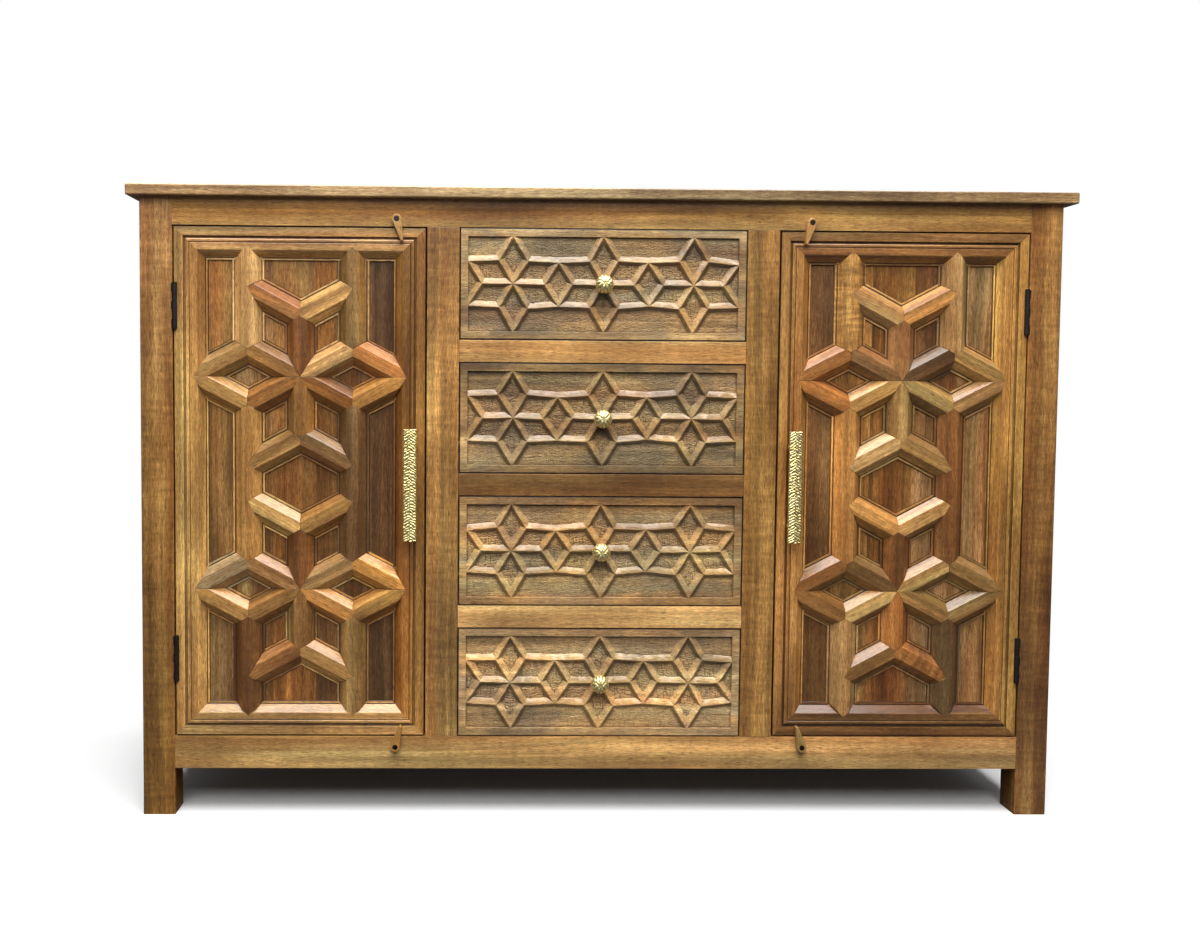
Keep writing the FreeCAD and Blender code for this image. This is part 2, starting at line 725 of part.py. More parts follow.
def offset_outline(points, distance):
    """A closed outline moved outwards by a distance, its corners kept sharp."""
    count = len(points)
    area = sum(points[i - 1][0] * points[i][1] - points[i][0] * points[i - 1][1] for i in range(count))
    turn = 1 if area > 0 else -1
    moved = []
    for i, corner in enumerate(points):
        before = unit(points[i - 1], corner)
        after = unit(corner, points[(i + 1) % count])
        first, second = (before[1] * turn, -before[0] * turn), (after[1] * turn, -after[0] * turn)
        spread = 1 + first[0] * second[0] + first[1] * second[1]
        x = corner[0] + distance * (first[0] + second[0]) / spread
        moved.append((x, corner[1] + distance * (first[1] + second[1]) / spread))
    return moved


def shifted(points, centre):
    """An outline moved from the origin to a place."""
    return [(x + centre[0], z + centre[1]) for x, z in points]


def star_shapes(centre, pitch, tip):
    """The outline of one carved star and its six lozenges, from side vectors along the rays."""
    slant = (STAR_SLANT_SHARE * pitch, tip / 2)
    rays = [
        (pitch / 2 - slant[0], 0), slant, (-slant[0], slant[1]),
        (slant[0] - pitch / 2, 0), (-slant[0], -slant[1]), (slant[0], -slant[1]),
    ]
    outline, lozenges = [], []
    for first, second in zip(rays, rays[1:] + rays[:1]):
        far = (first[0] + second[0], first[1] + second[1])
        outline += [first, far]
        lozenges.append([(0, 0), first, far, second])
    return shifted(outline, centre), [shifted(points, centre) for points in lozenges]


def drawer_span(index):
    """The bottom and top of a drawer's opening, counted from the top."""
    top = size("opening_top") - index * size("drawer_pitch")
    return top - size("drawer_opening"), top


def drawer_front(index):
    """A thick board with a rim, a sunk field and three raised stars with sunk lozenges."""
    base, top = drawer_span(index)
    gap = size("door_gap")
    front, back = size("front"), size("door_back")
    half = size("stile_inner") - gap
    field_half = half - size("rim_width")
    field_base, field_top = base + gap + size("rim_width"), top - gap - size("rim_width")
    middle = (base + top) / 2
    floor = front + size("carve_depth")
    near = front - size("cut_overrun")
    rib = size("rib_width") / 2
    pitch = 2 * field_half / STAR_COUNT
    sunk = cuboid((-field_half, field_half), (near, floor), (field_base, field_top))
    wells = []
    for place in range(STAR_COUNT):
        x = (place - (STAR_COUNT - 1) / 2) * pitch
        outline, lozenges = star_shapes((x, middle), pitch, (field_top - field_base) / 2)
        sunk = sunk.cut(plate(offset_outline(outline, rib), near, floor))
        wells += [plate(offset_outline(points, -rib), near, floor) for points in lozenges]
    field = cuboid((-field_half, field_half), (near, floor), (field_base, field_top))
    board = cuboid((-half, half), (front, back), (base + gap, top - gap)).cut(sunk)
    for well in wells:
        board = board.cut(well.common(field))
    stud = level_cylinder(size("knob_stud_diameter") / 2, 0, middle, near, back)
    board = board.cut(stud)
    rise = base + size("ride_clearance") + size("box_bottom_rise")
    groove = size("box_groove")
    slot_half = size("box_half") - size("box_side_thickness") + groove
    slot_z = (rise, rise + size("box_bottom_thickness"))
    slot = cuboid((-slot_half, slot_half), (back - groove, back), slot_z)
    return board.cut(slot)


def make_drawer(index):
    """A carved front, a box of three boards, a bottom panel and a knob with its nut."""
    name = f"drawer_{index + 1}"
    base = f"opening_top - {index} * drawer_pitch - drawer_opening"
    floor = f"{base} + ride_clearance"
    feature(f"{name}_front", drawer_front(index))
    panel_base = f"{floor} + box_bottom_rise"
    panel_top = f"{panel_base} + box_bottom_thickness"
    inner = "box_half - box_side_thickness"
    block(
        f"{name}_bottom", (f"- ( {inner} + box_groove )", f"{inner} + box_groove"),
        ("door_back - box_groove", "box_rear - box_side_thickness + box_groove"), (panel_base, panel_top),
    )
    panel = doc.getObject(f"{name}_bottom")
    walls = []
    for side, sign in SIDES:
        wall = block(
            f"{name}_side_{side}", sided(sign, inner, "box_half"), ("door_back", "box_rear"),
            (floor, f"{floor} + box_height"),
        )
        walls.append(cut(f"{name}_side_{side}_grooved", wall, [panel]))
    back = block(
        f"{name}_rear", (f"- ( {inner} )", inner), ("box_rear - box_side_thickness", "box_rear"),
        (floor, f"{floor} + box_height - box_back_drop"),
    )
    walls.append(cut(f"{name}_rear_grooved", back, [panel]))
    group(f"{name}_box", walls)
    make_knob(f"{name}_knob", f"{base} + drawer_opening / 2")


def make_knob(name, z):
    """A turned knob on a neck, with a threaded stud and a nut inside the drawer."""
    ball = doc.addObject("Part::Sphere", f"{name}_ball")
    bind(ball, "Radius", "knob_diameter / 2")
    place_body(ball, "0", "front - knob_reach + knob_diameter / 2", z)
    behind = block(
        f"{name}_behind", ("- knob_diameter", "knob_diameter"),
        ("front - knob_flat", "front + knob_diameter"), (f"{z} - knob_diameter", f"{z} + knob_diameter"),
    )
    bulb = cut(f"{name}_bulb", ball, [behind])
    rods = []
    for part, diameter, start, end in (
        ("neck", "knob_neck_diameter", "front", "front - knob_flat - knob_neck_diameter / 2"),
        ("stud", "knob_stud_diameter", "door_back + knob_nut_height + knob_stud_tail", "front - knob_flat"),
    ):
        rod = doc.addObject("Part::Cylinder", f"{name}_{part}")
        bind(rod, "Radius", f"{diameter} / 2")
        bind(rod, "Height", f"{start} - ( {end} )")
        rod.Placement = Placement(Vector(), Rotation(Vector(1, 0, 0), QUARTER_TURN))
        place_body(rod, "0", start, z)
        rods.append(rod)
    whole = doc.addObject("Part::MultiFuse", f"{name}_turned")
    whole.Shapes = [bulb, *rods]
    nut = doc.addObject("Part::Prism", f"{name}_nut_blank")
    nut.Polygon = 6
    bind(nut, "Circumradius", "knob_nut_width / 2")
    bind(nut, "Height", "knob_nut_height")
    nut.Placement = Placement(Vector(), Rotation(Vector(1, 0, 0), QUARTER_TURN))
    place_body(nut, "0", "door_back + knob_nut_height", z)
    threaded = cut(f"{name}_nut", nut, [rods[1]])
    group(name, [whole, threaded])


# Carcass

def make_legs(frame_leaves):
    """Four posts that run from the floor to the top, grooved for the side panels."""
    for side, sign in SIDES:
        panel = doc.getObject(f"side_panel_{side}")
        for end, y in (("front", "front + post_depth / 2"), ("back", "back - post_depth / 2")):
            name = f"leg_{end}_{side}"
            x = f"{sign} * ( half_body - post_width / 2 )"
            post = rounded_board(
                f"{name}_post", "post_width", "post_depth", "leg_height", (x, y, "0"), "post_round",
            )
            tools = [panel, frame_leaves] if end == "front" else [panel]
            cut(name, post, tools)


def make_sides():
    """Framed side panels, with a rail above and below each."""
    rails = []
    between = ("post_back", "back_post_front")
    for side, sign in SIDES:
        panel = block(
            f"side_panel_{side}", sided(sign, "panel_inner", "panel_outer"),
            ("post_back - panel_tongue", "back_post_front + panel_tongue"),
            ("opening_base - panel_tongue", "opening_top + panel_tongue"),
        )
        for place, z in (("lower", ("leg_clear", "opening_base")), ("upper", ("opening_top", "leg_height"))):
            rail = block(f"side_rail_{place}_{side}", sided(sign, "side_inner", "side_outer"), between, z)
            rails.append(cut(f"side_rail_{place}_{side}_grooved", rail, [panel]))
    group("side_rails", rails)


def make_front(screws):
    """The front rails, the stiles and the rails between the drawers."""
    depth = ("front", "frame_back")
    across = ("- post_inner", "post_inner")
    for place, z in (("bottom", ("leg_clear", "opening_base")), ("top", ("opening_top", "leg_height"))):
        rail = block(f"rail_front_{place}_board", across, depth, z)
        cut(f"rail_front_{place}", rail, [screws])
    for side, sign in SIDES:
        x = sided(sign, "stile_inner", "stile_outer")
        block(f"stile_{side}", x, depth, ("opening_base", "opening_top"))
    for index in range(1, DRAWER_COUNT):
        top = f"opening_top - {index} * drawer_pitch + drawer_rail_height"
        block(
            f"drawer_rail_{index}", ("- stile_inner", "stile_inner"), depth,
            (f"{top} - drawer_rail_height", top),
        )


def make_inside():
    """The floor, partitions, shelves with their cleats, and the drawer runners."""
    legs = [doc.getObject(f"leg_{end}_{side}_post") for end in ("front", "back") for side, _ in SIDES]
    lower_rail = block(
        "back_rail_lower", ("- post_inner", "post_inner"), ("back_rail_front", "back_panel_front"),
        ("leg_clear", "opening_base"),
    )
    upper_rail = block(
        "back_rail_upper", ("- post_inner", "post_inner"), ("back_rail_front", "back_panel_front"),
        ("opening_top", "leg_height"),
    )
    group("back_rails", [lower_rail, upper_rail])
    block(
        "back_panel", ("- post_inner", "post_inner"), ("back_panel_front", "back_panel_back"),
        ("leg_clear", "leg_height"),
    )
    board = block(
        "bottom_blank", ("- side_inner", "side_inner"), ("frame_back", "back_rail_front"),
        ("floor_base", "floor_top"),
    )
    cut("bottom_board", board, legs)
    cleats, runners = [], []
    for side, sign in SIDES:
        wall = block(
            f"partition_{side}_blank", sided(sign, "partition_inner", "partition_outer"),
            ("frame_back", "back_panel_front"), ("floor_top", "leg_height"),
        )
        cut(f"partition_{side}", wall, [lower_rail, upper_rail])
        shelf = block(
            f"shelf_{side}_blank", sided(sign, "partition_outer", "panel_inner"),
            ("front + shelf_setback", "back_panel_front"), ("shelf_base", "shelf_top"),
        )
        posts = [doc.getObject(f"leg_{end}_{side}_post") for end in ("front", "back")]
        cut(f"shelf_{side}", shelf, posts)
        for place, x in (
            ("inner", ("partition_outer", "partition_outer + cleat_width")),
            ("outer", ("panel_inner - cleat_width", "panel_inner")),
        ):
            cleats.append(block(
                f"cleat_{place}_{side}", sided(sign, *x),
                ("front + cleat_setback", "back_post_front"), ("cleat_base", "shelf_base"),
            ))
        for index in range(DRAWER_COUNT):
            base = f"opening_top - {index} * drawer_pitch - drawer_opening"
            run = ("frame_back", "back_rail_front")
            ledge = block(
                f"ledge_{index}_{side}", sided(sign, "ledge_inner", "partition_inner"), run,
                (f"{base} - ledge_height", base),
            )
            guide = block(
                f"guide_{index}_{side}", sided(sign, "guide_inner", "partition_inner"), run,
                (base, f"{base} + guide_rise"),
            )
            runner = doc.addObject("Part::MultiFuse", f"runner_{index}_{side}")
            runner.Shapes = [ledge, guide]
            runner.Refine = True
            runners.append(runner)
    group("shelf_cleats", cleats)
    group("drawer_runners", runners)


def make_top():
    """The top board, its edges eased all round."""
    place = ("0", "( front + back - top_front_overhang ) / 2", "leg_height")
    rounded_board("top_board", "top_width", "top_depth", "top_thickness", place, "top_edge_round", any_edge)


def make_doors():
    """Both doors, each with its frame, lattice, planks, handle and hinge leaves."""
    for side, sign in SIDES:
        name = f"door_{side}"
        members, bars = door_pieces(sign)
        feature(f"{name}_frame", Part.Compound(members))
        feature(f"{name}_lattice", Part.Compound(bars))
        feature(f"{name}_boards", Part.Compound(door_planks(sign)))
        feature(f"{name}_hinge_leaves", Part.Compound([door_leaf(sign, z) for z in hinge_centres()]))
        make_handle(side, sign)
        feature(f"{name}_handle_screws", Part.Compound(handle_screws(sign)))


def hinge_group(make):
    """One shape of each hinge, from a function of its side and height."""
    return Part.Compound([make(sign, z) for _, sign in SIDES for z in hinge_centres()])


frame_leaves = feature("hinge_frame_leaves", hinge_group(frame_leaf))
feature("hinge_pins", hinge_group(hinge_pin))
screws = feature(
    "button_screws",
    Part.Compound([button_screw(value_of(x), value_of(z)) for _, x, z, _ in button_places()]),
)
make_sides()
make_legs(frame_leaves)
make_front(screws)
make_inside()
make_top()
make_doors()
for button_name, button_x, button_z, button_turn in button_places():
    make_button(f"turn_button_{button_name}", button_x, button_z, button_turn)
for drawer in range(DRAWER_COUNT):
    make_drawer(drawer)
doc.recompute()

NODES = [
    "top_board", "rail_front_bottom", "rail_front_top", "side_rails", "back_rails", "back_panel",
    "bottom_board", "drawer_runners", "shelf_cleats", "hinge_frame_leaves", "hinge_pins", "button_screws",
]
for side_name, _ in SIDES:
    NODES += [f"leg_front_{side_name}", f"leg_back_{side_name}", f"stile_{side_name}"]
    NODES += [f"side_panel_{side_name}", f"partition_{side_name}", f"shelf_{side_name}"]
    NODES += [f"turn_button_{place}_{side_name}" for place in ("upper", "lower")]
    door_parts = ("frame", "lattice", "boards", "hinge_leaves", "handle", "handle_screws")
    NODES += [f"door_{side_name}_{part}" for part in door_parts]
NODES += [f"drawer_rail_{number}" for number in range(1, DRAWER_COUNT)]
for number in range(1, DRAWER_COUNT + 1):
    NODES += [f"drawer_{number}_{part}" for part in ("front", "box", "bottom", "knob")]

for item in doc.Objects:
    if "Invalid" in item.State or "Error" in item.State:
        raise RuntimeError(f"{item.Name} failed: {item.State}")
os.makedirs("parts", exist_ok=True)
for node in NODES:
    item = doc.getObject(node)
    item.Label = node
    if item.Shape.isNull() or not item.Shape.isValid():
        raise RuntimeError(f"{node} has no valid shape")
    item.Shape.exportStep(f"parts/{node}.step")
    print(node, len(item.Shape.Solids), round(item.Shape.Volume))
print(len(NODES), "nodes")
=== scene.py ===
"""A sideboard of mango wood with latticed doors and carved drawers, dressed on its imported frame."""

import logging
import math
import random
from collections.abc import Sequence
from dataclasses import dataclass
from enum import Enum

import bmesh
import bpy
import numpy as np
from mathutils import geometry, Matrix, Vector, noise


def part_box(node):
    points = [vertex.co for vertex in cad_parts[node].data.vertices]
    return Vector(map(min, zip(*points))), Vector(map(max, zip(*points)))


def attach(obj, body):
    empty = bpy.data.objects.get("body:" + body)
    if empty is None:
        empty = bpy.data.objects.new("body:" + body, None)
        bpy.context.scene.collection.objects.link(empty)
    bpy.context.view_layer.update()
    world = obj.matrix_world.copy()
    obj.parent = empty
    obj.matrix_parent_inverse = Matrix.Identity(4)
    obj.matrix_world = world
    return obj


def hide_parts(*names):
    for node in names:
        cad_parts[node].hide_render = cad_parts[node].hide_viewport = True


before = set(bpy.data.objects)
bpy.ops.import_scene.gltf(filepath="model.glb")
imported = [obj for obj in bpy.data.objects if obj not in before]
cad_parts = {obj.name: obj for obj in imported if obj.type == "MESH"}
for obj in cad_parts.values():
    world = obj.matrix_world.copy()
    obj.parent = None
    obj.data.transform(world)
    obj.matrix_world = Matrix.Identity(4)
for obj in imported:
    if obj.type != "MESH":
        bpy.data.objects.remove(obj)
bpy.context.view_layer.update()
LOG = logging.getLogger("sideboard")

Colour = tuple[float, float, float]
Place = tuple[float, float]
Pair = tuple[int, int]
Triangle = tuple[int, int, int]
Socket = bpy.types.NodeSocket

# A corner of a section: how far across, how deep or high, and the kind of face that follows it
Profile = tuple[float, float, str]

# Millimetres in a metre
MILLIMETRES = 1000
FACING_FRONT = (math.pi / 2, 0, 0)
SIDES = (("left", -1), ("right", 1))


class Shade(Enum):
    """The colours that one tree gives from board to board, as light that a lacquered face sends back."""

    AMBER = (0.510, 0.245, 0.058)
    GOLD = (0.400, 0.205, 0.058)
    HONEY = (0.340, 0.155, 0.040)
    DRIFT = (0.240, 0.136, 0.058)
    RUSSET = (0.325, 0.138, 0.038)
    ORANGE = (0.380, 0.150, 0.036)
    OLIVE = (0.305, 0.164, 0.050)
    STRAW = (0.520, 0.290, 0.095)
    TAN = (0.420, 0.230, 0.082)
    PINK = (0.310, 0.140, 0.047)
    CHESTNUT = (0.246, 0.100, 0.020)
    RUST = (0.250, 0.095, 0.026)
    BROWN = (0.195, 0.086, 0.024)
    SEPIA = (0.150, 0.058, 0.014)
    WALNUT = (0.115, 0.055, 0.019)
    UMBER = (0.152, 0.077, 0.027)
    POST = (0.262, 0.126, 0.041)
    MUSTARD = (0.345, 0.165, 0.032)
    RAIL = (0.305, 0.152, 0.038)
    SILVER = (0.310, 0.192, 0.089)
    ASH = (0.400, 0.248, 0.110)
    PALE = (0.490, 0.315, 0.155)
    CREAM = (0.620, 0.345, 0.118)
    WHEAT = (0.880, 0.510, 0.190)
    INNER = (0.270, 0.140, 0.055)


# One shade for a whole board, or those at the two ends of its fibres
Stain = Shade | tuple[Shade, Shade]


def named_shades(names: str) -> tuple[Shade, ...]:
    """The shades that a line of words names."""
    return tuple(Shade[name] for name in names.split())


def deselect() -> None:
    """Leaves nothing selected."""
    bpy.ops.object.select_all(action="DESELECT")


def focus(obj: bpy.types.Object) -> None:
    """Selects one object alone and makes it the active one."""
    deselect()
    obj.select_set(True)
    bpy.context.view_layer.objects.active = obj


def apply_modifier(obj: bpy.types.Object, kind: str, **settings: object) -> None:
    """Adds a modifier with its settings and applies it.

    Args:
        obj: The piece to work on.
        kind: The modifier's type.
        settings: The modifier's properties by name.
    """
    focus(obj)
    modifier = obj.modifiers.new(kind.title(), kind)
    for name, value in settings.items():
        setattr(modifier, name, value)
    bpy.ops.object.modifier_apply(modifier=modifier.name)


def new_object(name: str, mesh: bpy.types.Mesh) -> bpy.types.Object:
    """Links a mesh to the scene as an object at the origin.

    Args:
        name: The object's name.
        mesh: Its mesh.

    Returns:
        The new object.
    """
    obj = bpy.data.objects.new(name, mesh)
    bpy.context.scene.collection.objects.link(obj)
    return obj


def smooth(obj: bpy.types.Object, angle: float = 35.0) -> None:
    """Shades a piece smooth except across edges sharper than an angle in degrees."""
    focus(obj)
    bpy.ops.object.shade_smooth_by_angle(angle=math.radians(angle))


def join(parts: Sequence[bpy.types.Object], name: str, finish: "Finish") -> bpy.types.Object:
    """Joins parts into one piece with one finish.

    Args:
        parts: The parts, of which the first stays.
        name: The piece's name.
        finish: The piece's finish.

    Returns:
        The piece.
    """
    whole = parts[0]
    focus(whole)
    for part in parts:
        part.select_set(True)
    bpy.ops.object.join()
    whole.name = name
    whole.data.materials.clear()
    whole.data.materials.append(finish.material())
    return whole


def apply_place(obj: bpy.types.Object) -> None:
    """Puts an object's place, turn and scale into its mesh."""
    focus(obj)
    bpy.ops.object.transform_apply(location=True, rotation=True, scale=True)


def front_grid(centre: Sequence[float], width: float, height: float, step: float) -> bpy.types.Object:
    """Adds a fine flat grid that faces the front.

    Args:
        centre: Its middle.
        width: Its width.
        height: Its height.
        step: About how far apart its lines lie.

    Returns:
        The grid.
    """
    deselect()
    bpy.ops.mesh.primitive_grid_add(
        x_subdivisions=round(width / step), y_subdivisions=round(height / step), size=1, location=centre,
        rotation=FACING_FRONT,
    )
    grid = bpy.context.active_object
    grid.scale = (width, height, 1)
    apply_place(grid)
    return grid


def level_rod(
    place: Place, radius: float, start: float, end: float, sides: int, ease: float,
) -> bpy.types.Object:
    """Adds a rod that runs from front to back, with eased ends.

    Args:
        place: Where its axis is on the front.
        radius: Its radius.
        start: Where its front end lies.
        end: Where its back end lies.
        sides: How many sides it has.
        ease: The width of its eased edges.

    Returns:
        The rod.
    """
    deselect()
    bpy.ops.mesh.primitive_cylinder_add(
        vertices=sides, radius=radius, depth=end - start, location=(place[0], (start + end) / 2, place[1]),
        rotation=FACING_FRONT,
    )
    rod = bpy.context.active_object
    apply_place(rod)
    apply_modifier(rod, "BEVEL", width=ease, segments=2, limit_method="ANGLE")
    return rod


def vertex_places(mesh: bpy.types.Mesh) -> np.ndarray:
    """The places of a mesh's vertices, one a row."""
    points = np.empty(3 * len(mesh.vertices))
    mesh.vertices.foreach_get("co", points)
    return points.reshape(-1, 3)


def store(mesh: bpy.types.Mesh, name: str, values: np.ndarray) -> None:
    """Keeps one value a vertex under a name."""
    mesh.attributes.new(name, "FLOAT", "POINT").data.foreach_set("value", values.astype(np.float32))


class Tree:
    """A node tree with short calls for the nodes that the finishes are made of."""

    def __init__(self, tree: bpy.types.NodeTree) -> None:
        """Takes over a tree."""
        self.tree = tree

    def add(
        self, kind: str, inputs: dict[str | int, object] | None = None, **settings: object,
    ) -> bpy.types.Node:
        """Adds a node.

        Args:
            kind: The node's type without its Shader prefix, or a whole type name.
            inputs: Values or sockets for its inputs, by name or number.
            settings: The node's own properties.

        Returns:
            The node.
        """
        node = self.tree.nodes.new(kind if kind.startswith("NodeGroup") else f"ShaderNode{kind}")
        for name, value in settings.items():
            setattr(node, name, value)
        self.feed(node.inputs, inputs or {})
        return node

    def feed(self, wanted: object, given: dict[str | int, object]) -> None:
        """Gives inputs their values or the sockets that they read, by name or number."""
        for key, value in given.items():
            if isinstance(value, Socket):
                self.tree.links.new(value, wanted[key])
            else:
                wanted[key].default_value = value

    def finish(self, shader: bpy.types.Node, output: str = "OutputMaterial") -> None:
        """Adds the output that shows a shader."""
        self.add(output, {0: shader.outputs[0]})

    def times(self, first: Socket, second: Socket | Colour) -> Socket:
        """One vector or colour multiplied by another, part by part."""
        return self.add("VectorMath", {0: first, 1: second}, operation="MULTIPLY").outputs[0]

    def moved(self, vector: Socket, by: Socket, scale: Colour) -> Socket:
        """A vector moved by another, of which each part is multiplied by its own factor."""
        return self.add("VectorMath", {0: by, 1: scale, 2: vector}, operation="MULTIPLY_ADD").outputs[0]

    def noise(self, vector: Socket, scale: Colour, detail: float = 3.0, twist: float = 0.0) -> Socket:
        """A cloudy value between 0 and 1 on a stretched vector."""
        inputs = {"Vector": self.times(vector, scale), "Scale": 1.0, "Detail": detail, "Distortion": twist}
        return self.add("TexNoise", inputs).outputs["Fac"]

    def spots(
        self, vector: Socket, scale: Colour, channel: int, share: Socket | float,
    ) -> tuple[Socket, Socket]:
        """Spots scattered over a stretched vector, of which chance picks a share.

        Args:
            vector: The vector.
            scale: How much each of its parts is stretched.
            channel: Which part of a spot's own random colour decides whether it is picked.
            share: The share that is picked.

        Returns:
            How far the nearest spot is, and whether it is picked.
        """
        cells = self.add("TexVoronoi", {"Vector": self.times(vector, scale), "Scale": 1.0})
        part = self.add("SeparateColor", {0: cells.outputs["Color"]}).outputs[channel]
        return cells.outputs["Distance"], self.math("LESS_THAN", part, share)

    def math(self, operation: str, first: object, second: object = 0.0, third: object = 0.0) -> Socket:
        """The result of one sum, such as ADD or MULTIPLY_ADD."""
        return self.add("Math", {0: first, 1: second, 2: third}, operation=operation).outputs[0]

    def span(self, value: Socket, low: float, high: float, start: float = 0.0, end: float = 1.0) -> Socket:
        """A value drawn from one span onto another, and held within it."""
        inputs = {"Value": value, "From Min": low, "From Max": high, "To Min": start, "To Max": end}
        return self.add("MapRange", inputs).outputs[0]

    def mix(self, factor: object, first: object, second: object) -> Socket:
        """A colour between two colours."""
        return self.add("Mix", {0: factor, 6: first, 7: second}, data_type="RGBA").outputs[2]

    def tint(self, colour: Socket, mask: Socket, share: float, over: Colour) -> Socket:
        """A colour with a share of another laid over it, where a mask says so."""
        return self.mix(self.math("MULTIPLY", mask, share), colour, (*over, 1.0))

    def between(self, factor: Socket, first: Colour, second: Colour) -> Socket:
        """A vector between two vectors, or past them."""
        node = self.add("Mix", {0: factor, 4: first, 5: second}, data_type="VECTOR", clamp_factor=False)
        return node.outputs[1]

    def bump(self, height: Socket, depth: float, normal: Socket | None = None) -> Socket:
        """The normal of a surface with a height laid on it."""
        under = {"Normal": normal} if normal else {}
        return self.add("Bump", {"Strength": 1.0, "Distance": depth, "Height": height, **under}).outputs[0]

    def attribute(self, name: str, output: str) -> Socket:
        """A value stored on the piece's mesh."""
        return self.add("Attribute", attribute_name=name, attribute_type="GEOMETRY").outputs[output]


def start_material(name: str) -> tuple[bpy.types.Material, Tree]:
    """Starts a material with an empty tree."""
    material = bpy.data.materials.new(name)
    material.use_nodes = True
    material.node_tree.nodes.clear()
    return material, Tree(material.node_tree)


def make_group(name: str, inputs: dict[str, object], outputs: dict[str, str]) -> tuple[Tree, dict, dict]:
    """Starts a node group.

    Args:
        name: The group's name.
        inputs: A default for each input by name: a number, a colour of four parts or a vector of three.
        outputs: A socket type for each output by name.

    Returns:
        The tree, its input sockets by name, and the sockets that its outputs read.
    """
    group = bpy.data.node_groups.new(name, "ShaderNodeTree")
    for label, default in inputs.items():
        parts = len(default) if isinstance(default, tuple) else 1
        kind = {1: "NodeSocketFloat", 3: "NodeSocketVector", 4: "NodeSocketColor"}[parts]
        socket = group.interface.new_socket(label, in_out="INPUT", socket_type=kind)
        socket.default_value = default
    for label, kind in outputs.items():
        group.interface.new_socket(label, in_out="OUTPUT", socket_type=kind)
    tree = Tree(group)
    start, end = tree.add("NodeGroupInput"), tree.add("NodeGroupOutput")
    return tree, dict(start.outputs.items()), dict(end.inputs.items())


# What darkens the wood and the brass, painted shade among it
PORE: Colour = (0.040, 0.018, 0.007)
KNOT_HALO: Colour = (0.10, 0.042, 0.016)
KNOT: Colour = (0.022, 0.011, 0.006)
WORM_HOLE: Colour = (0.030, 0.014, 0.007)
# Painted shade for creases, grooves, the gaps round doors and drawers, and the band under the overhang
PAINTED_SHADE: Colour = (0.030, 0.014, 0.006)
GLUE: Colour = (0.05, 0.025, 0.012)
# Painted shade in the gouge strokes' hollows, also the colour of the darker comb streaks
STROKE_SHADE: Colour = (0.066, 0.042, 0.024)
TARNISH: Colour = (0.25, 0.175, 0.048)


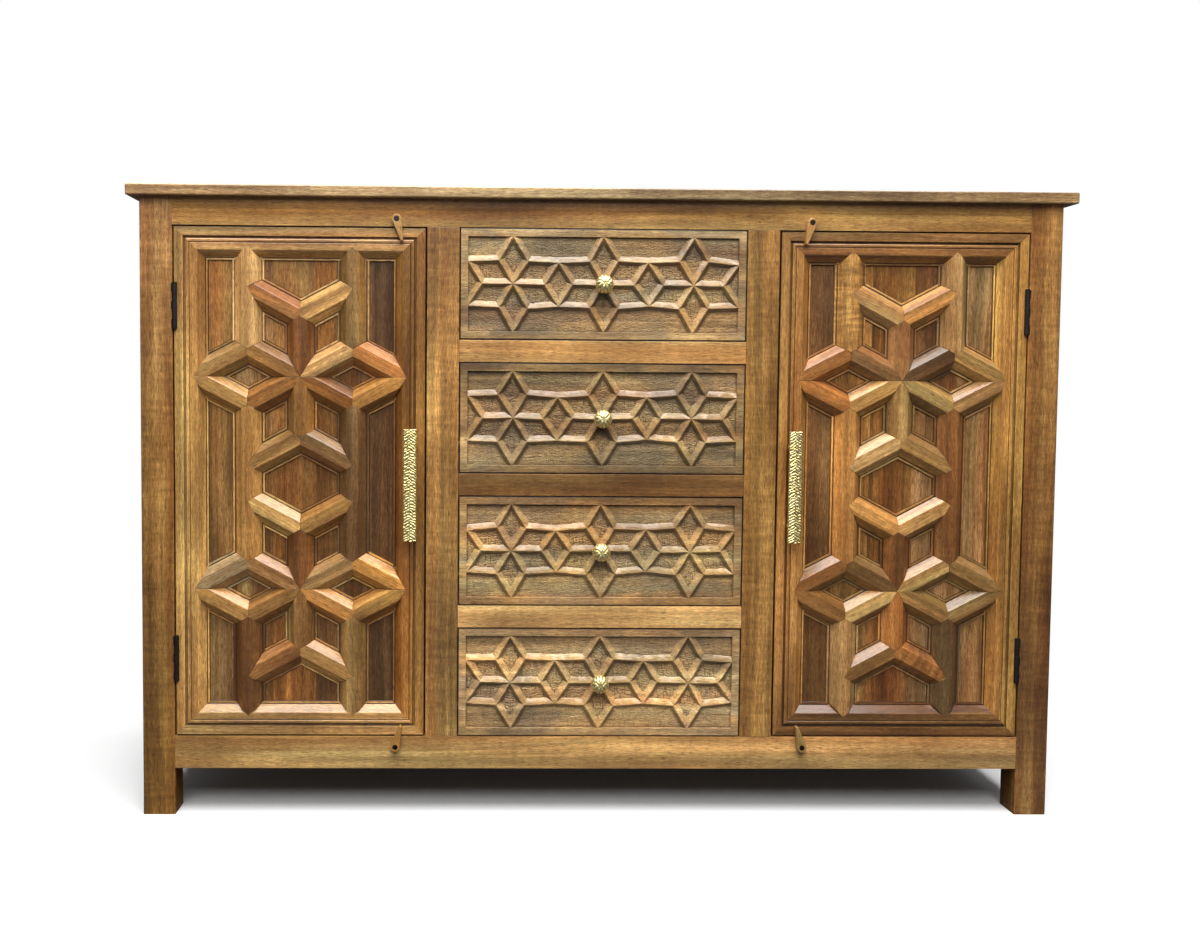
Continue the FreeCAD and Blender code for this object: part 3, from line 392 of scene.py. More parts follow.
def timber_group() -> bpy.types.NodeTree:
    """The figure of mango wood on a vector whose first part runs along the fibres.

    Returns:
        The group, which puts out a colour, a roughness and a height.
    """
    tree, given, wanted = make_group(
        "Mango timber",
        {
            "Grain": (0.0, 0.0, 0.0), "Stain": (0.4, 0.2, 0.1, 1.0), "Contrast": 1.0, "Figure": 0.1,
            "Knots": 0.5, "Arris": 0.0, "Crease": 0.0, "Curl": 0.0,
        },
        {"Color": "NodeSocketColor", "Roughness": "NodeSocketFloat", "Height": "NodeSocketFloat"},
    )
    grain = given["Grain"]
    wander = tree.add("TexNoise", {"Vector": tree.times(grain, (1.4, 5.0, 5.0)), "Scale": 1.0, "Detail": 2.0})
    drift = tree.add("VectorMath", {0: wander.outputs["Color"], 1: (0.5, 0.5, 0.5)}, operation="SUBTRACT")
    pushed = tree.moved(grain, drift.outputs[0], (0.0, 0.04, 0.04))
    line = tree.noise(pushed, (3.0, 170.0, 170.0), 2.0)
    fibre = tree.noise(pushed, (62.0, 700.0, 700.0), 2.0)
    layers = (
        (tree.noise(grain, (2.2, 5.0, 5.0), 1.0), 1.1),
        (tree.noise(grain, (6.0, 19.0, 19.0), 4.0, 0.3), 1.1),
        (tree.noise(pushed, (1.1, 38.0, 38.0), 3.0, 0.2), 1.5),
        (line, 0.7),
        (fibre, 0.95),
        (tree.noise(pushed, (150.0, 1700.0, 1700.0), 1.0), 0.7),
        (
            tree.noise(grain, (110.0, 20.0, 20.0), 2.0, 0.8),
            tree.math("MULTIPLY_ADD", given["Curl"], 1.2, given["Figure"]),
        ),
    )
    tone: Socket | float = 0.0
    for value, share in layers:
        tone = tree.math("MULTIPLY_ADD", tree.math("SUBTRACT", value, 0.5), share, tone)
    tone = tree.span(tree.math("MULTIPLY", tone, given["Contrast"]), -0.8, 0.8, -0.8, 0.8)
    powers = {axis: tree.math("POWER", base, tone) for axis, base in enumerate((4.0, 4.8, 5.6))}
    depth = tree.add("CombineXYZ", powers).outputs[0]
    hue = tree.noise(pushed, (1.1, 26.0, 26.0), 3.0)
    warmth = tree.between(tree.span(hue, 0.3, 0.7), (1.14, 0.95, 0.80), (0.90, 1.04, 1.05))
    colour = tree.times(tree.times(given["Stain"], depth), warmth)

    pores = tree.span(tree.noise(pushed, (90.0, 1100.0, 1100.0), 1.0), 0.60, 0.68)
    colour = tree.tint(colour, pores, 0.6, PORE)
    far, chosen = tree.spots(pushed, (4.0, 13.0, 13.0), 0, given["Knots"])
    knot = tree.math("MULTIPLY", tree.span(far, 0.13, 0.03), chosen)
    halo = tree.math("MULTIPLY", tree.span(far, 0.34, 0.08), chosen)
    colour = tree.tint(tree.tint(colour, halo, 0.55, KNOT_HALO), knot, 0.85, KNOT)
    far, chosen = tree.spots(grain, (14.0, 20.0, 20.0), 1, 0.42)
    hole = tree.math("MULTIPLY", tree.span(far, 0.030, 0.016), chosen)
    colour = tree.tint(colour, hole, 1.0, WORM_HOLE)
    # Painted highlight: faces marked as eased edges or lit lip faces are lightened
    edge_highlight = tree.times(colour, (1.38, 1.45, 1.55))
    colour = tree.mix(tree.math("MULTIPLY", given["Arris"], 0.5), colour, edge_highlight)
    # Painted shade: faces marked as creases, grooves, gap edges or the band under the overhang are darkened
    colour = tree.tint(colour, given["Crease"], 0.85, PAINTED_SHADE)

    rough = tree.math("MULTIPLY_ADD", tree.math("SUBTRACT", fibre, 0.5), 0.25, 0.42)
    rough = tree.math("MULTIPLY_ADD", pores, 0.2, rough)
    height = tree.math("MULTIPLY_ADD", line, 0.5, tree.math("MULTIPLY", fibre, 0.5))
    height = tree.math("SUBTRACT", height, tree.math("MULTIPLY", pores, 0.5))
    height = tree.math("SUBTRACT", height, tree.math("MULTIPLY", tree.math("MAXIMUM", knot, hole), 1.2))
    tree.feed(wanted, {"Color": colour, "Roughness": rough, "Height": height})
    return tree.tree


def planks_group() -> bpy.types.NodeTree:
    """Splits a wide board into glued staves, each with its own piece of grain and its own tone.

    Returns:
        The group, which puts out the moved vector, a tone and the glue line.
    """
    tree, given, wanted = make_group(
        "Glued staves",
        {"Grain": (0.0, 0.0, 0.0), "Width": 0.09, "Length": 0.55},
        {"Grain": "NodeSocketVector", "Tone": "NodeSocketVector", "Joint": "NodeSocketFloat"},
    )
    parts = tree.add("SeparateXYZ", {0: given["Grain"]})
    across = tree.math("DIVIDE", parts.outputs[1], given["Width"])
    row = tree.math("FLOOR", across)
    slip = tree.add("TexWhiteNoise", {"W": row}, noise_dimensions="1D").outputs["Value"]
    slide = tree.math("MULTIPLY", slip, 7.0)
    along = tree.math("ADD", tree.math("DIVIDE", parts.outputs[0], given["Length"]), slide)
    stave = tree.math("FLOOR", along)
    cell = tree.add("CombineXYZ", {0: row, 1: stave})
    chance = tree.add("TexWhiteNoise", {"Vector": cell.outputs[0]}, noise_dimensions="3D")
    moved = tree.moved(given["Grain"], chance.outputs["Color"], (0.9, 0.9, 0.9))
    tone = tree.between(chance.outputs["Value"], (0.62, 0.55, 0.48), (1.22, 1.24, 1.26))
    edge, end = (
        tree.math("ABSOLUTE", tree.math("SUBTRACT", tree.math("FRACT", place), 0.5))
        for place in (across, along)
    )
    joint = tree.math("MAXIMUM", tree.span(edge, 0.493, 0.499), tree.span(end, 0.4985, 0.4998))
    tree.feed(wanted, {"Grain": moved, "Tone": tone, "Joint": joint})
    return tree.tree


def gouge_group() -> bpy.types.NodeTree:
    """The small strokes that a carver's gouge leaves on a sunk ground.

    Returns:
        The group, which puts out a height and a mask of the strokes' hollows.
    """
    tree, given, wanted = make_group(
        "Gouge strokes", {"Vector": (0.0, 0.0, 0.0)},
        {"Height": "NodeSocketFloat", "Hollow": "NodeSocketFloat"},
    )
    stretched = tree.times(given["Vector"], (260.0, 260.0, 430.0))
    cells = tree.add("TexVoronoi", {"Vector": stretched, "Scale": 1.0, "Smoothness": 0.35}, feature="SMOOTH_F1")
    rough = tree.noise(given["Vector"], (620.0, 620.0, 900.0), 2.0)
    height = tree.math("MULTIPLY_ADD", rough, 0.5, tree.span(cells.outputs["Distance"], 0.05, 0.7))
    comb = tree.span(tree.noise(given["Vector"], (500.0, 500.0, 70.0), 1.0), 0.46, 0.34, 0.0, 0.8)
    hollow = tree.math("MAXIMUM", tree.span(height, 0.75, 0.25), comb)
    tree.feed(wanted, {"Height": height, "Hollow": hollow})
    return tree.tree


@dataclass(frozen=True)
class TimberFinish:
    """Mango wood sawn, stained and lacquered one way."""

    name: str
    slot: str
    contrast: float = 1.0
    figure: float = 0.35
    knots: float = 0.03
    lacquer: float = 0.65
    grain_depth: float = 0.00012
    stroke_depth: float = 0.0011
    staves: tuple[float, float] | None = None
    carved: bool = False

    def material(self) -> bpy.types.Material:
        """Makes the finish's material, or finds it if it is already made.

        Returns:
            The material.
        """
        if self.name in bpy.data.materials:
            return bpy.data.materials[self.name]
        material, tree = start_material(self.name)
        grain, stain = tree.attribute("grain", "Vector"), tree.attribute("stain", "Color")
        joint: Socket | None = None
        if self.staves:
            width, length = self.staves
            given = {"Grain": grain, "Width": width, "Length": length}
            split = tree.add("Group", given, node_tree=Effects.staves)
            grain, joint = split.outputs["Grain"], split.outputs["Joint"]
            stain = tree.times(stain, split.outputs["Tone"])
        edges = {label: tree.attribute(label.lower(), "Fac") for label in ("Arris", "Crease", "Curl")}
        wood = tree.add("Group", {
            "Grain": grain, "Stain": stain, "Contrast": self.contrast, "Figure": self.figure,
            "Knots": self.knots, **edges,
        }, node_tree=Effects.timber)
        colour, rough = wood.outputs["Color"], wood.outputs["Roughness"]
        if joint:
            colour = tree.tint(colour, joint, 0.55, GLUE)
        normal = tree.bump(wood.outputs["Height"], self.grain_depth)
        if self.carved:
            colour, rough, normal = self.carve(tree, colour, rough, normal)
        tree.finish(tree.add("BsdfPrincipled", {
            "Base Color": colour, "Roughness": rough, "Normal": normal, "Coat Weight": self.lacquer,
            "Coat Roughness": 0.17, "Coat IOR": 1.55, "Specular IOR Level": 0.35,
        }))
        return material

    def carve(self, tree: Tree, colour: Socket, rough: Socket, normal: Socket) -> tuple[Socket, Socket, Socket]:
        """Adds what a carved board has over a plain one: patches, gouge strokes, and painted light and shade,
        with rib sides that face up lighter and those that face down and the ground beside ribs and rim darker.

        Args:
            tree: The material's tree.
            colour: The wood's colour.
            rough: The wood's roughness.
            normal: The wood's normal.

        Returns:
            The carved board's colour, roughness and normal.
        """
        place = tree.add("TexCoord").outputs["Object"]
        strokes = tree.add("Group", {"Vector": place}, node_tree=Effects.gouge)
        patch = tree.span(tree.noise(place, (9.0, 9.0, 17.0), 4.0, 0.6), 0.40, 0.60)
        colour = tree.times(colour, tree.between(patch, (1.20, 1.15, 1.0), (0.76, 0.79, 0.86)))
        ground, painted_light = tree.attribute("ground", "Fac"), tree.attribute("painted_light", "Fac")
        # Painted shade in the strokes' hollows, together with darker comb streaks, on the gouged ground
        colour = tree.tint(colour, tree.math("MULTIPLY", strokes.outputs["Hollow"], ground), 0.75, STROKE_SHADE)
        # Painted highlight on rib sides that face up, painted shade on those that face down and on the ground
        # beside ribs and rim
        lit_colour = tree.times(colour, (1.22, 1.2, 1.14))
        shaded_colour = tree.times(colour, (0.26, 0.21, 0.16))
        colour = tree.mix(tree.span(painted_light, 0.40, 0.0), colour, shaded_colour)
        colour = tree.mix(tree.span(painted_light, 0.55, 1.0), colour, lit_colour)
        raised = tree.math("MULTIPLY", strokes.outputs["Height"], tree.span(ground, 0.0, 1.0, 0.18, 1.0))
        normal = tree.bump(raised, self.stroke_depth, normal)
        return colour, tree.math("ADD", rough, tree.math("MULTIPLY", ground, 0.15)), normal


@dataclass(frozen=True)
class MetalFinish:
    """A metal with its colour, polish and small unevenness."""

    name: str
    slot: str
    colour: Colour
    shade: Colour
    roughness: float
    metallic: float = 1.0
    grit: float = 500.0
    depth: float = 0.0001

    def material(self) -> bpy.types.Material:
        """Makes the finish's material, or finds it if it is already made.

        Returns:
            The material.
        """
        if self.name in bpy.data.materials:
            return bpy.data.materials[self.name]
        material, tree = start_material(self.name)
        place = tree.add("TexCoord").outputs["Object"]
        grit = tree.noise(place, (self.grit,) * 3, 3.0)
        cloud = tree.noise(place, (self.grit / 8,) * 3, 3.0)
        colour = tree.mix(tree.span(cloud, 0.3, 0.7), (*self.colour, 1.0), (*self.shade, 1.0))
        colour = tree.tint(colour, tree.attribute("recess", "Fac"), 0.85, TARNISH)
        tree.finish(tree.add("BsdfPrincipled", {
            "Base Color": colour, "Metallic": self.metallic, "Normal": tree.bump(grit, self.depth),
            "Roughness": tree.span(grit, 0.2, 0.8, self.roughness - 0.08, self.roughness + 0.1),
        }))
        return material


class Effects:
    """The node groups that the finishes share."""

    timber: bpy.types.NodeTree = timber_group()
    staves: bpy.types.NodeTree = planks_group()
    gouge: bpy.types.NodeTree = gouge_group()


POST_WOOD = TimberFinish("Post wood", "post_wood", contrast=1.1, figure=0.6, knots=0.02)
RAIL_WOOD = TimberFinish("Rail wood", "rail_wood", contrast=0.9, figure=0.25, knots=0.05)
TOP_WOOD = TimberFinish("Top wood", "top_wood", contrast=1.2, figure=0.2, staves=(0.088, 9.0))
INNER_WOOD = TimberFinish("Inner wood", "case_wood", contrast=0.8, figure=0.2, lacquer=0.2, staves=(0.11, 0.9))
FRAME_WOOD = TimberFinish("Door frame wood", "door_frame_wood", contrast=1.05, figure=0.2, knots=0.02)
LATTICE_WOOD = TimberFinish("Lattice wood", "lattice_wood", contrast=1.0, figure=0.35, knots=0.04)
PLANK_WOOD = TimberFinish("Plank wood", "board_wood", contrast=1.3, figure=0.2, knots=0.12, lacquer=0.25)
DRAWER_WOOD = TimberFinish("Carved wood", "drawer_wood", contrast=0.95, figure=0.2, knots=0.09, carved=True)
BUTTON_WOOD = TimberFinish("Button wood", "button_wood", contrast=0.7, figure=0.1, knots=0.0)
BRASS = MetalFinish("Pale brass", "pale_brass", (1.0, 0.89, 0.47), (1.0, 0.83, 0.38), 0.48)
IRON = MetalFinish("Black iron", "black_iron", (0.018, 0.015, 0.014), (0.030, 0.024, 0.020), 0.5, metallic=0.6)
STEEL = MetalFinish("Screw steel", "screw_steel", (0.02, 0.018, 0.016), (0.05, 0.045, 0.04), 0.45)


Finish = TimberFinish | MetalFinish

# What the joinery counts as flat or sharp, in radians, and how its fine steps lie, in metres
BEVEL_ANGLE = math.radians(30)
FLAT_ANGLE = math.radians(1)
SHARP_ANGLE = 0.05
LEVEL_SLACK = 0.00005
LIP_STAGGER = 0.00001
LIP_ROOT = 0.0005
# How strong the painted highlight on a lip's face is
LIP_HIGHLIGHT = 0.8

# How much boards of one shade differ, and the shortest run over which a stain can change
BOARD_TONES = (0.93, 1.07)
SHORTEST_RUN = 0.001


def node_solids(node: str) -> list[tuple[np.ndarray, list[Triangle]]]:
    """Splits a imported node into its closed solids.

    Args:
        node: The node's name.

    Returns:
        The corners of the whole node and the triangles of each solid.
    """
    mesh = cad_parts[node].data
    rounded = np.round(vertex_places(mesh), 6)
    corners, merged = np.unique(rounded, axis=0, return_inverse=True)
    merged = merged.ravel()
    solids: list[list[Triangle]] = [[]]
    unmatched: set[Pair] = set()
    for polygon in mesh.polygons:
        a, b, c = (int(merged[v]) for v in polygon.vertices)
        if len({a, b, c}) < 3:
            continue
        solids[-1].append((a, b, c))
        for edge in ((a, b), (b, c), (c, a)):
            unmatched ^= {(min(edge), max(edge))}
        if not unmatched:
            solids.append([])
    if not solids[-1]:
        solids.pop()
    return [(corners, triangles) for triangles in solids]


@dataclass
class Joinery:
    """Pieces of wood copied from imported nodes, with eased edges, grain and stain."""

    name: str
    nodes: Sequence[str]
    body: str
    finish: TimberFinish
    shades: Sequence[Shade]
    ease: float = 0.0008
    segments: int = 2
    waver: float = 0.0
    seed: int = 1
    lips: Sequence[Profile] = ()
    curly: Sequence[int] = ()

    def build(self) -> bpy.types.Object:
        """Makes the piece and puts it on its body.

        Returns:
            The finished piece.
        """
        mesh, axes = self.merged_copy()
        obj = new_object(self.name, mesh)
        mesh.materials.append(self.finish.material())
        if self.ease:
            apply_modifier(
                obj, "BEVEL", width=self.ease, segments=self.segments, limit_method="ANGLE",
                angle_limit=BEVEL_ANGLE, material=1, use_clamp_overlap=True,
            )
        mark_arrises(obj)
        if self.lips:
            self.add_lips(obj)
        lay_grain(obj, axes, self.shades, self.seed, self.curly)
        smooth(obj)
        apply_modifier(obj, "WEIGHTED_NORMAL", keep_sharp=True)
        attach(obj, self.body)
        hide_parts(*self.nodes)
        LOG.info("%s: %d faces", self.name, len(obj.data.polygons))
        return obj

    def merged_copy(self) -> tuple[bpy.types.Mesh, list[Vector]]:
        """Copies the nodes' solids with their flat faces whole again.

        Returns:
            The mesh, whose faces know their board by number, and the fibre direction of each board.
        """
        bm = bmesh.new()
        board = bm.faces.layers.int.new("board")
        axes: list[Vector] = []
        self.members: list[np.ndarray] = []
        chance = random.Random(self.seed)
        for node in self.nodes:
            for corners, triangles in node_solids(node):
                axes.append(self.add_solid(bm, board, len(axes), corners, triangles, chance))
                self.members.append(corners[sorted({corner for three in triangles for corner in three})])
        mesh = bpy.data.meshes.new(self.name)
        bm.to_mesh(mesh)
        bm.free()
        return mesh, axes

    def add_solid(
        self, bm: bmesh.types.BMesh, board: bmesh.types.BMLayerItem, number: int, corners: np.ndarray,
        triangles: list[Triangle], chance: random.Random,
    ) -> Vector:
        """Adds one solid to the mesh, a hair out of line where the joiner's work is.

        Args:
            bm: The mesh being made.
            board: The layer that keeps the board's number.
            number: The board's number.
            corners: The corners that the triangles name.
            triangles: The solid's triangles.
            chance: Where the unevenness comes from.

        Returns:
            The direction of the solid's fibres, which is that of its longest sharp edge.
        """
        shift = Vector(chance.uniform(-1, 1) * self.waver for _ in range(3))
        made: dict[int, bmesh.types.BMVert] = {}
        faces = []
        for triangle in triangles:
            for corner in triangle:
                if corner not in made:
                    made[corner] = bm.verts.new(Vector(corners[corner]) + shift)
            face = bm.faces.new([made[corner] for corner in triangle])
            face.normal_update()
            face[board] = number
            faces.append(face)
        edges = list(dict.fromkeys(edge for face in faces for edge in face.edges))
        bmesh.ops.dissolve_limit(
            bm, angle_limit=FLAT_ANGLE, use_dissolve_boundaries=False, verts=list(made.values()), edges=edges,
        )
        kept = [edge for vert in made.values() if vert.is_valid for edge in vert.link_edges]
        ways = [edge.verts[1].co - edge.verts[0].co for edge in kept if edge.calc_face_angle(0.0) > SHARP_ANGLE]
        way = max(ways, key=lambda way: (round(way.length, 4), [round(abs(part), 4) for part in way]))
        return way.normalized() * math.copysign(1, max(way, key=abs))

    def add_lips(self, obj: bpy.types.Object) -> None:
        """Adds the fine steps that run round each member where it meets the planks."""
        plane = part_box(self.nodes[0].rsplit("_", 1)[0] + "_boards")[0].y
        bm = bmesh.new()
        bm.from_mesh(obj.data)
        board = bm.faces.layers.int["board"]
        for number, corners in enumerate(self.members):
            level = [Vector((x, z)) for x, y, z in corners if abs(y - plane) < LEVEL_SLACK]
            ring = [level[index] for index in geometry.convex_hull_2d(level)]
            for reach, height, kind in self.lips:
                front = plane - height - number * LIP_STAGGER
                faces = self.add_step(bm, self.widened(ring, reach), front, plane + LIP_ROOT)
                layer = bm.faces.layers.float[kind]
                for face in faces:
                    face[board] = number
                    # Painted shade on the dark steps, painted highlight on the lit step
                    face[layer] = 1.0 if kind == "crease" else LIP_HIGHLIGHT
        bm.to_mesh(obj.data)
        bm.free()

    def widened(self, ring: list[Vector], reach: float) -> list[Vector]:
        """An outline that runs a distance outside another, which turns anticlockwise."""
        moved = []
        for before, at, after in zip(ring[-1:] + ring[:-1], ring, ring[1:] + ring[:1]):
            ways = ((at - before).normalized(), (after - at).normalized())
            first, second = (Vector((way.y, -way.x)) for way in ways)
            moved.append(at + (first + second) * reach / (1 + first.dot(second)))
        return moved

    def add_step(
        self, bm: bmesh.types.BMesh, ring: list[Vector], front: float, back: float,
    ) -> list[bmesh.types.BMFace]:
        """Adds a flat step of an outline's shape to the mesh.

        Args:
            bm: The mesh being made.
            ring: The outline on the front.
            front: Where the step's face lies.
            back: Where its sides end.

        Returns:
            The faces of the step.
        """
        upper = [bm.verts.new((at.x, front, at.y)) for at in ring]
        lower = [bm.verts.new((at.x, back, at.y)) for at in ring]
        faces = [bm.faces.new(upper)]
        for n in range(len(ring)):
            after = (n + 1) % len(ring)
            faces.append(bm.faces.new((upper[after], upper[n], lower[n], lower[after])))
        return faces


def mark_arrises(obj: bpy.types.Object) -> None:
    """Stores which faces are eased edges and which fill inner corners, and leaves one material."""
    bm = bmesh.new()
    bm.from_mesh(obj.data)
    layers = bm.faces.layers.float
    arris, crease = (layers.get(name) or layers.new(name) for name in ("arris", "crease"))
    for face in bm.faces:
        if face.material_index:
            centre = face.calc_center_median()
            others = [other for edge in face.edges for other in edge.link_faces if other is not face]
            bend = sum(face.normal.dot(other.calc_center_median() - centre) for other in others)
            # Eased edges take a painted highlight, faces in inner corners a painted shade
            face[arris if bend < 0 else crease] = 1.0
            face.material_index = 0
    bm.to_mesh(obj.data)
    bm.free()


def grain_axes(along: np.ndarray, points: np.ndarray) -> np.ndarray:
    """A board's own axes: along its fibres, then across its broad face, then through its thickness.

    Args:
        along: The direction of its fibres.
        points: The places of its vertices.

    Returns:
        The axes, one a column.
    """
    guide = np.eye(3)[np.argmin(np.abs(along))]
    across = np.cross(along, guide)
    across /= np.linalg.norm(across)
    other = np.cross(along, across)
    if np.ptp(points @ other) > np.ptp(points @ across):
        across, other = other, across
    return np.stack([along, across, other], axis=1)


def lay_grain(
    obj: bpy.types.Object, axes: Sequence[Vector], shades: Sequence[Stain], seed: int,
    curly: Sequence[int] = (),
) -> None:
    """Stores where each point lies in its board's own grain, and the board's stain.

    Args:
        obj: The piece, whose faces know their board by number.
        axes: The fibre direction of each board.
        shades: The stain of each board, used in turn.
        seed: What makes this piece's timber differ from another's.
        curly: The boards with a strong cross figure.
    """
    mesh = obj.data
    boards = np.zeros(len(mesh.polygons), dtype=np.int32)
    mesh.attributes["board"].data.foreach_get("value", boards)
    owner = np.zeros(len(mesh.vertices), dtype=np.int32)
    for polygon, number in zip(mesh.polygons, boards):
        for vertex in polygon.vertices:
            owner[vertex] = number
    points = vertex_places(mesh)
    grain = np.zeros_like(points)
    stain = np.ones((len(points), 4))
    for number, axis in enumerate(axes):
        mine = owner == number
        if not mine.any():
            continue
        along = np.array(axis)
        chance = random.Random(f"{seed} {number}")
        offset = [chance.uniform(-1, 1) for _ in range(3)]
        grain[mine] = points[mine] @ grain_axes(along, points[mine]) + offset
        shade = shades[number % len(shades)]
        start, end = shade if isinstance(shade, tuple) else (shade, shade)
        run = points[mine] @ along
        share = ((run - run.min()) / max(np.ptp(run), SHORTEST_RUN))[:, None]
        tone = chance.uniform(*BOARD_TONES)
        stain[mine, :3] = ((1 - share) * np.array(start.value) + share * np.array(end.value)) * tone
    mesh.attributes.new("grain", "FLOAT_VECTOR", "POINT").data.foreach_set("vector", grain.ravel())
    mesh.attributes.new("stain", "FLOAT_COLOR", "POINT").data.foreach_set("color", stain.ravel())
    store(mesh, "curl", np.isin(owner, curly))


# The moulding of the door frames from the outer edge inwards: how far in and how deep each corner lies, in
# millimetres, and whether the face that follows it gets a painted highlight, some painted shade or much painted
# shade.
MOULDING = (
    (0.5, 2.6, "crease"), (1.0, 0.5, "crease"), (1.4, 0.1, ""), (2.0, 0.0, ""), (14.4, 0.0, "arris"),
    (15.2, 0.5, "groove"), (15.8, 4.0, "groove"), (18.4, 4.2, "groove"), (19.2, 1.6, "groove"),
    (19.8, 0.8, "arris"), (21.2, 0.3, ""), (23.6, 0.3, "arris"), (24.4, 0.7, "groove"),
    (25.0, 1.5, "groove"), (25.8, 1.5, "groove"), (26.2, 0.6, "arris"), (27.2, 0.3, ""),
    (36.2, 0.3, "arris"), (37.4, 0.7, "arris"), (38.3, 1.5, ""),
    (48.2, 11.6, "crease"), (48.6, 12.7, "crease"), (49.6, 12.7, "crease"), (49.9, 11.8, "arris"),
    (52.2, 11.8, "crease"), (52.5, 13.0, "crease"), (53.5, 14.5, ""),
)


@dataclass
class MouldedFrame(Joinery):
    """A door's four mitred members, all worked with one moulding."""

    ease: float = 0.0
    rebate: float = 0.0435
    rounded: float = 0.0
    drawn_in: float = 0.0005
    # How much painted shade the grooves get
    groove_shade: float = 0.62
    flats: Sequence[float] = (22.5, 45.0, 67.5)

    def merged_copy(self) -> tuple[bpy.types.Mesh, list[Vector]]:
        """Runs the moulding along the members, in the places of the node's own.

        Returns:
            The mesh, whose faces know their board by number, and the fibre direction of each board.
        """
        low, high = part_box(self.nodes[0])
        section = self.section(high.y - low.y)
        runs = (((0, 0), (0, 1)), ((1, 0), (1, 1)), ((0, 0), (1, 0)), ((0, 1), (1, 1)))
        joined = bmesh.new()
        for number, ends in enumerate(runs):
            member = self.member(section, low, high, ends, number)
            joined.from_mesh(member)
            bpy.data.meshes.remove(member)
        whole = bpy.data.meshes.new(self.name)
        joined.to_mesh(whole)
        joined.free()
        return whole, [Vector((0, 0, 1))] * 2 + [Vector((1, 0, 0))] * 2

    def section(self, depth: float) -> list[Profile]:
        """The outline of a member's section, in metres, with the kind of face that follows each corner."""
        moulded = [(across / MILLIMETRES, deep / MILLIMETRES, kind) for across, deep, kind in MOULDING]
        foot = moulded[-1][1]
        # The rebate, and the outer side faces, which get painted shade for the shadow in the gap round the door
        return moulded + [
            (self.rebate, foot, ""), (self.rebate, depth, ""), (0.0, depth, "crease"),
            (0.0, 0.7 * depth, "crease"), (self.drawn_in, 0.5 * depth, "crease"),
        ]

    def member(
        self, section: list[Profile], low: Vector, high: Vector, ends: Sequence[Pair], number: int,
    ) -> bpy.types.Mesh:
        """Makes one member with mitred ends.

        Args:
            section: The outline of its section.
            low: The door frame's lowest corner.
            high: The door frame's highest corner.
            ends: The two corners of the frame that it joins, each 0 or 1 to the right and 0 or 1 upwards.
            number: Its board's number.

        Returns:
            The member's mesh.
        """
        bm = bmesh.new()
        board = bm.faces.layers.int.new("board")
        layers = {kind: bm.faces.layers.float.new(kind) for kind in ("arris", "crease")}
        rings = []
        for x, z in ends:
            corner = Vector((high.x if x else low.x, low.y, high.z if z else low.z))
            rings.append([
                bm.verts.new(corner + Vector((across * (1 - 2 * x), deep, across * (1 - 2 * z))))
                for across, deep, _ in section
            ])
        for n, (_, _, kind) in enumerate(section):
            after = (n + 1) % len(section)
            face = bm.faces.new((rings[0][n], rings[0][after], rings[1][after], rings[1][n]))
            # Grooves get some painted shade, creases much, arrises a painted highlight
            if kind == "groove":
                face[layers["crease"]] = self.groove_shade
            elif kind:
                face[layers[kind]] = 1.0
        for ring in rings:
            bm.faces.new(ring)
        bmesh.ops.recalc_face_normals(bm, faces=bm.faces[:])
        if self.rounded:
            self.round_corner(bm, Vector((high.x, low.y, low.z)))
        for face in bm.faces:
            face[board] = number
        mesh = bpy.data.meshes.new("member")
        bm.to_mesh(mesh)
        bm.free()
        return mesh

    def round_corner(self, bm: bmesh.types.BMesh, corner: Vector) -> None:
        """Takes the frame's lower right corner off a member in flats."""
        middle = corner + Vector((-self.rounded, 0, self.rounded))
        for turn in self.flats:
            way = Vector((math.cos(math.radians(turn)), 0, -math.sin(math.radians(turn))))
            parts = bm.verts[:] + bm.edges[:] + bm.faces[:]
            cut = bmesh.ops.bisect_plane(
                bm, geom=parts, plane_co=middle + way * self.rounded, plane_no=way, clear_outer=True,
            )
            rim = [part for part in cut["geom_cut"] if isinstance(part, bmesh.types.BMEdge)]
            if rim:
                bmesh.ops.holes_fill(bm, edges=rim, sides=0)


POST_SHADES: dict[str, Stain] = {"left": (Shade.MUSTARD, Shade.POST), "right": (Shade.BROWN, Shade.HONEY)}
STILE_SHADES: dict[str, Stain] = {"left": Shade.GOLD, "right": Shade.RAIL}


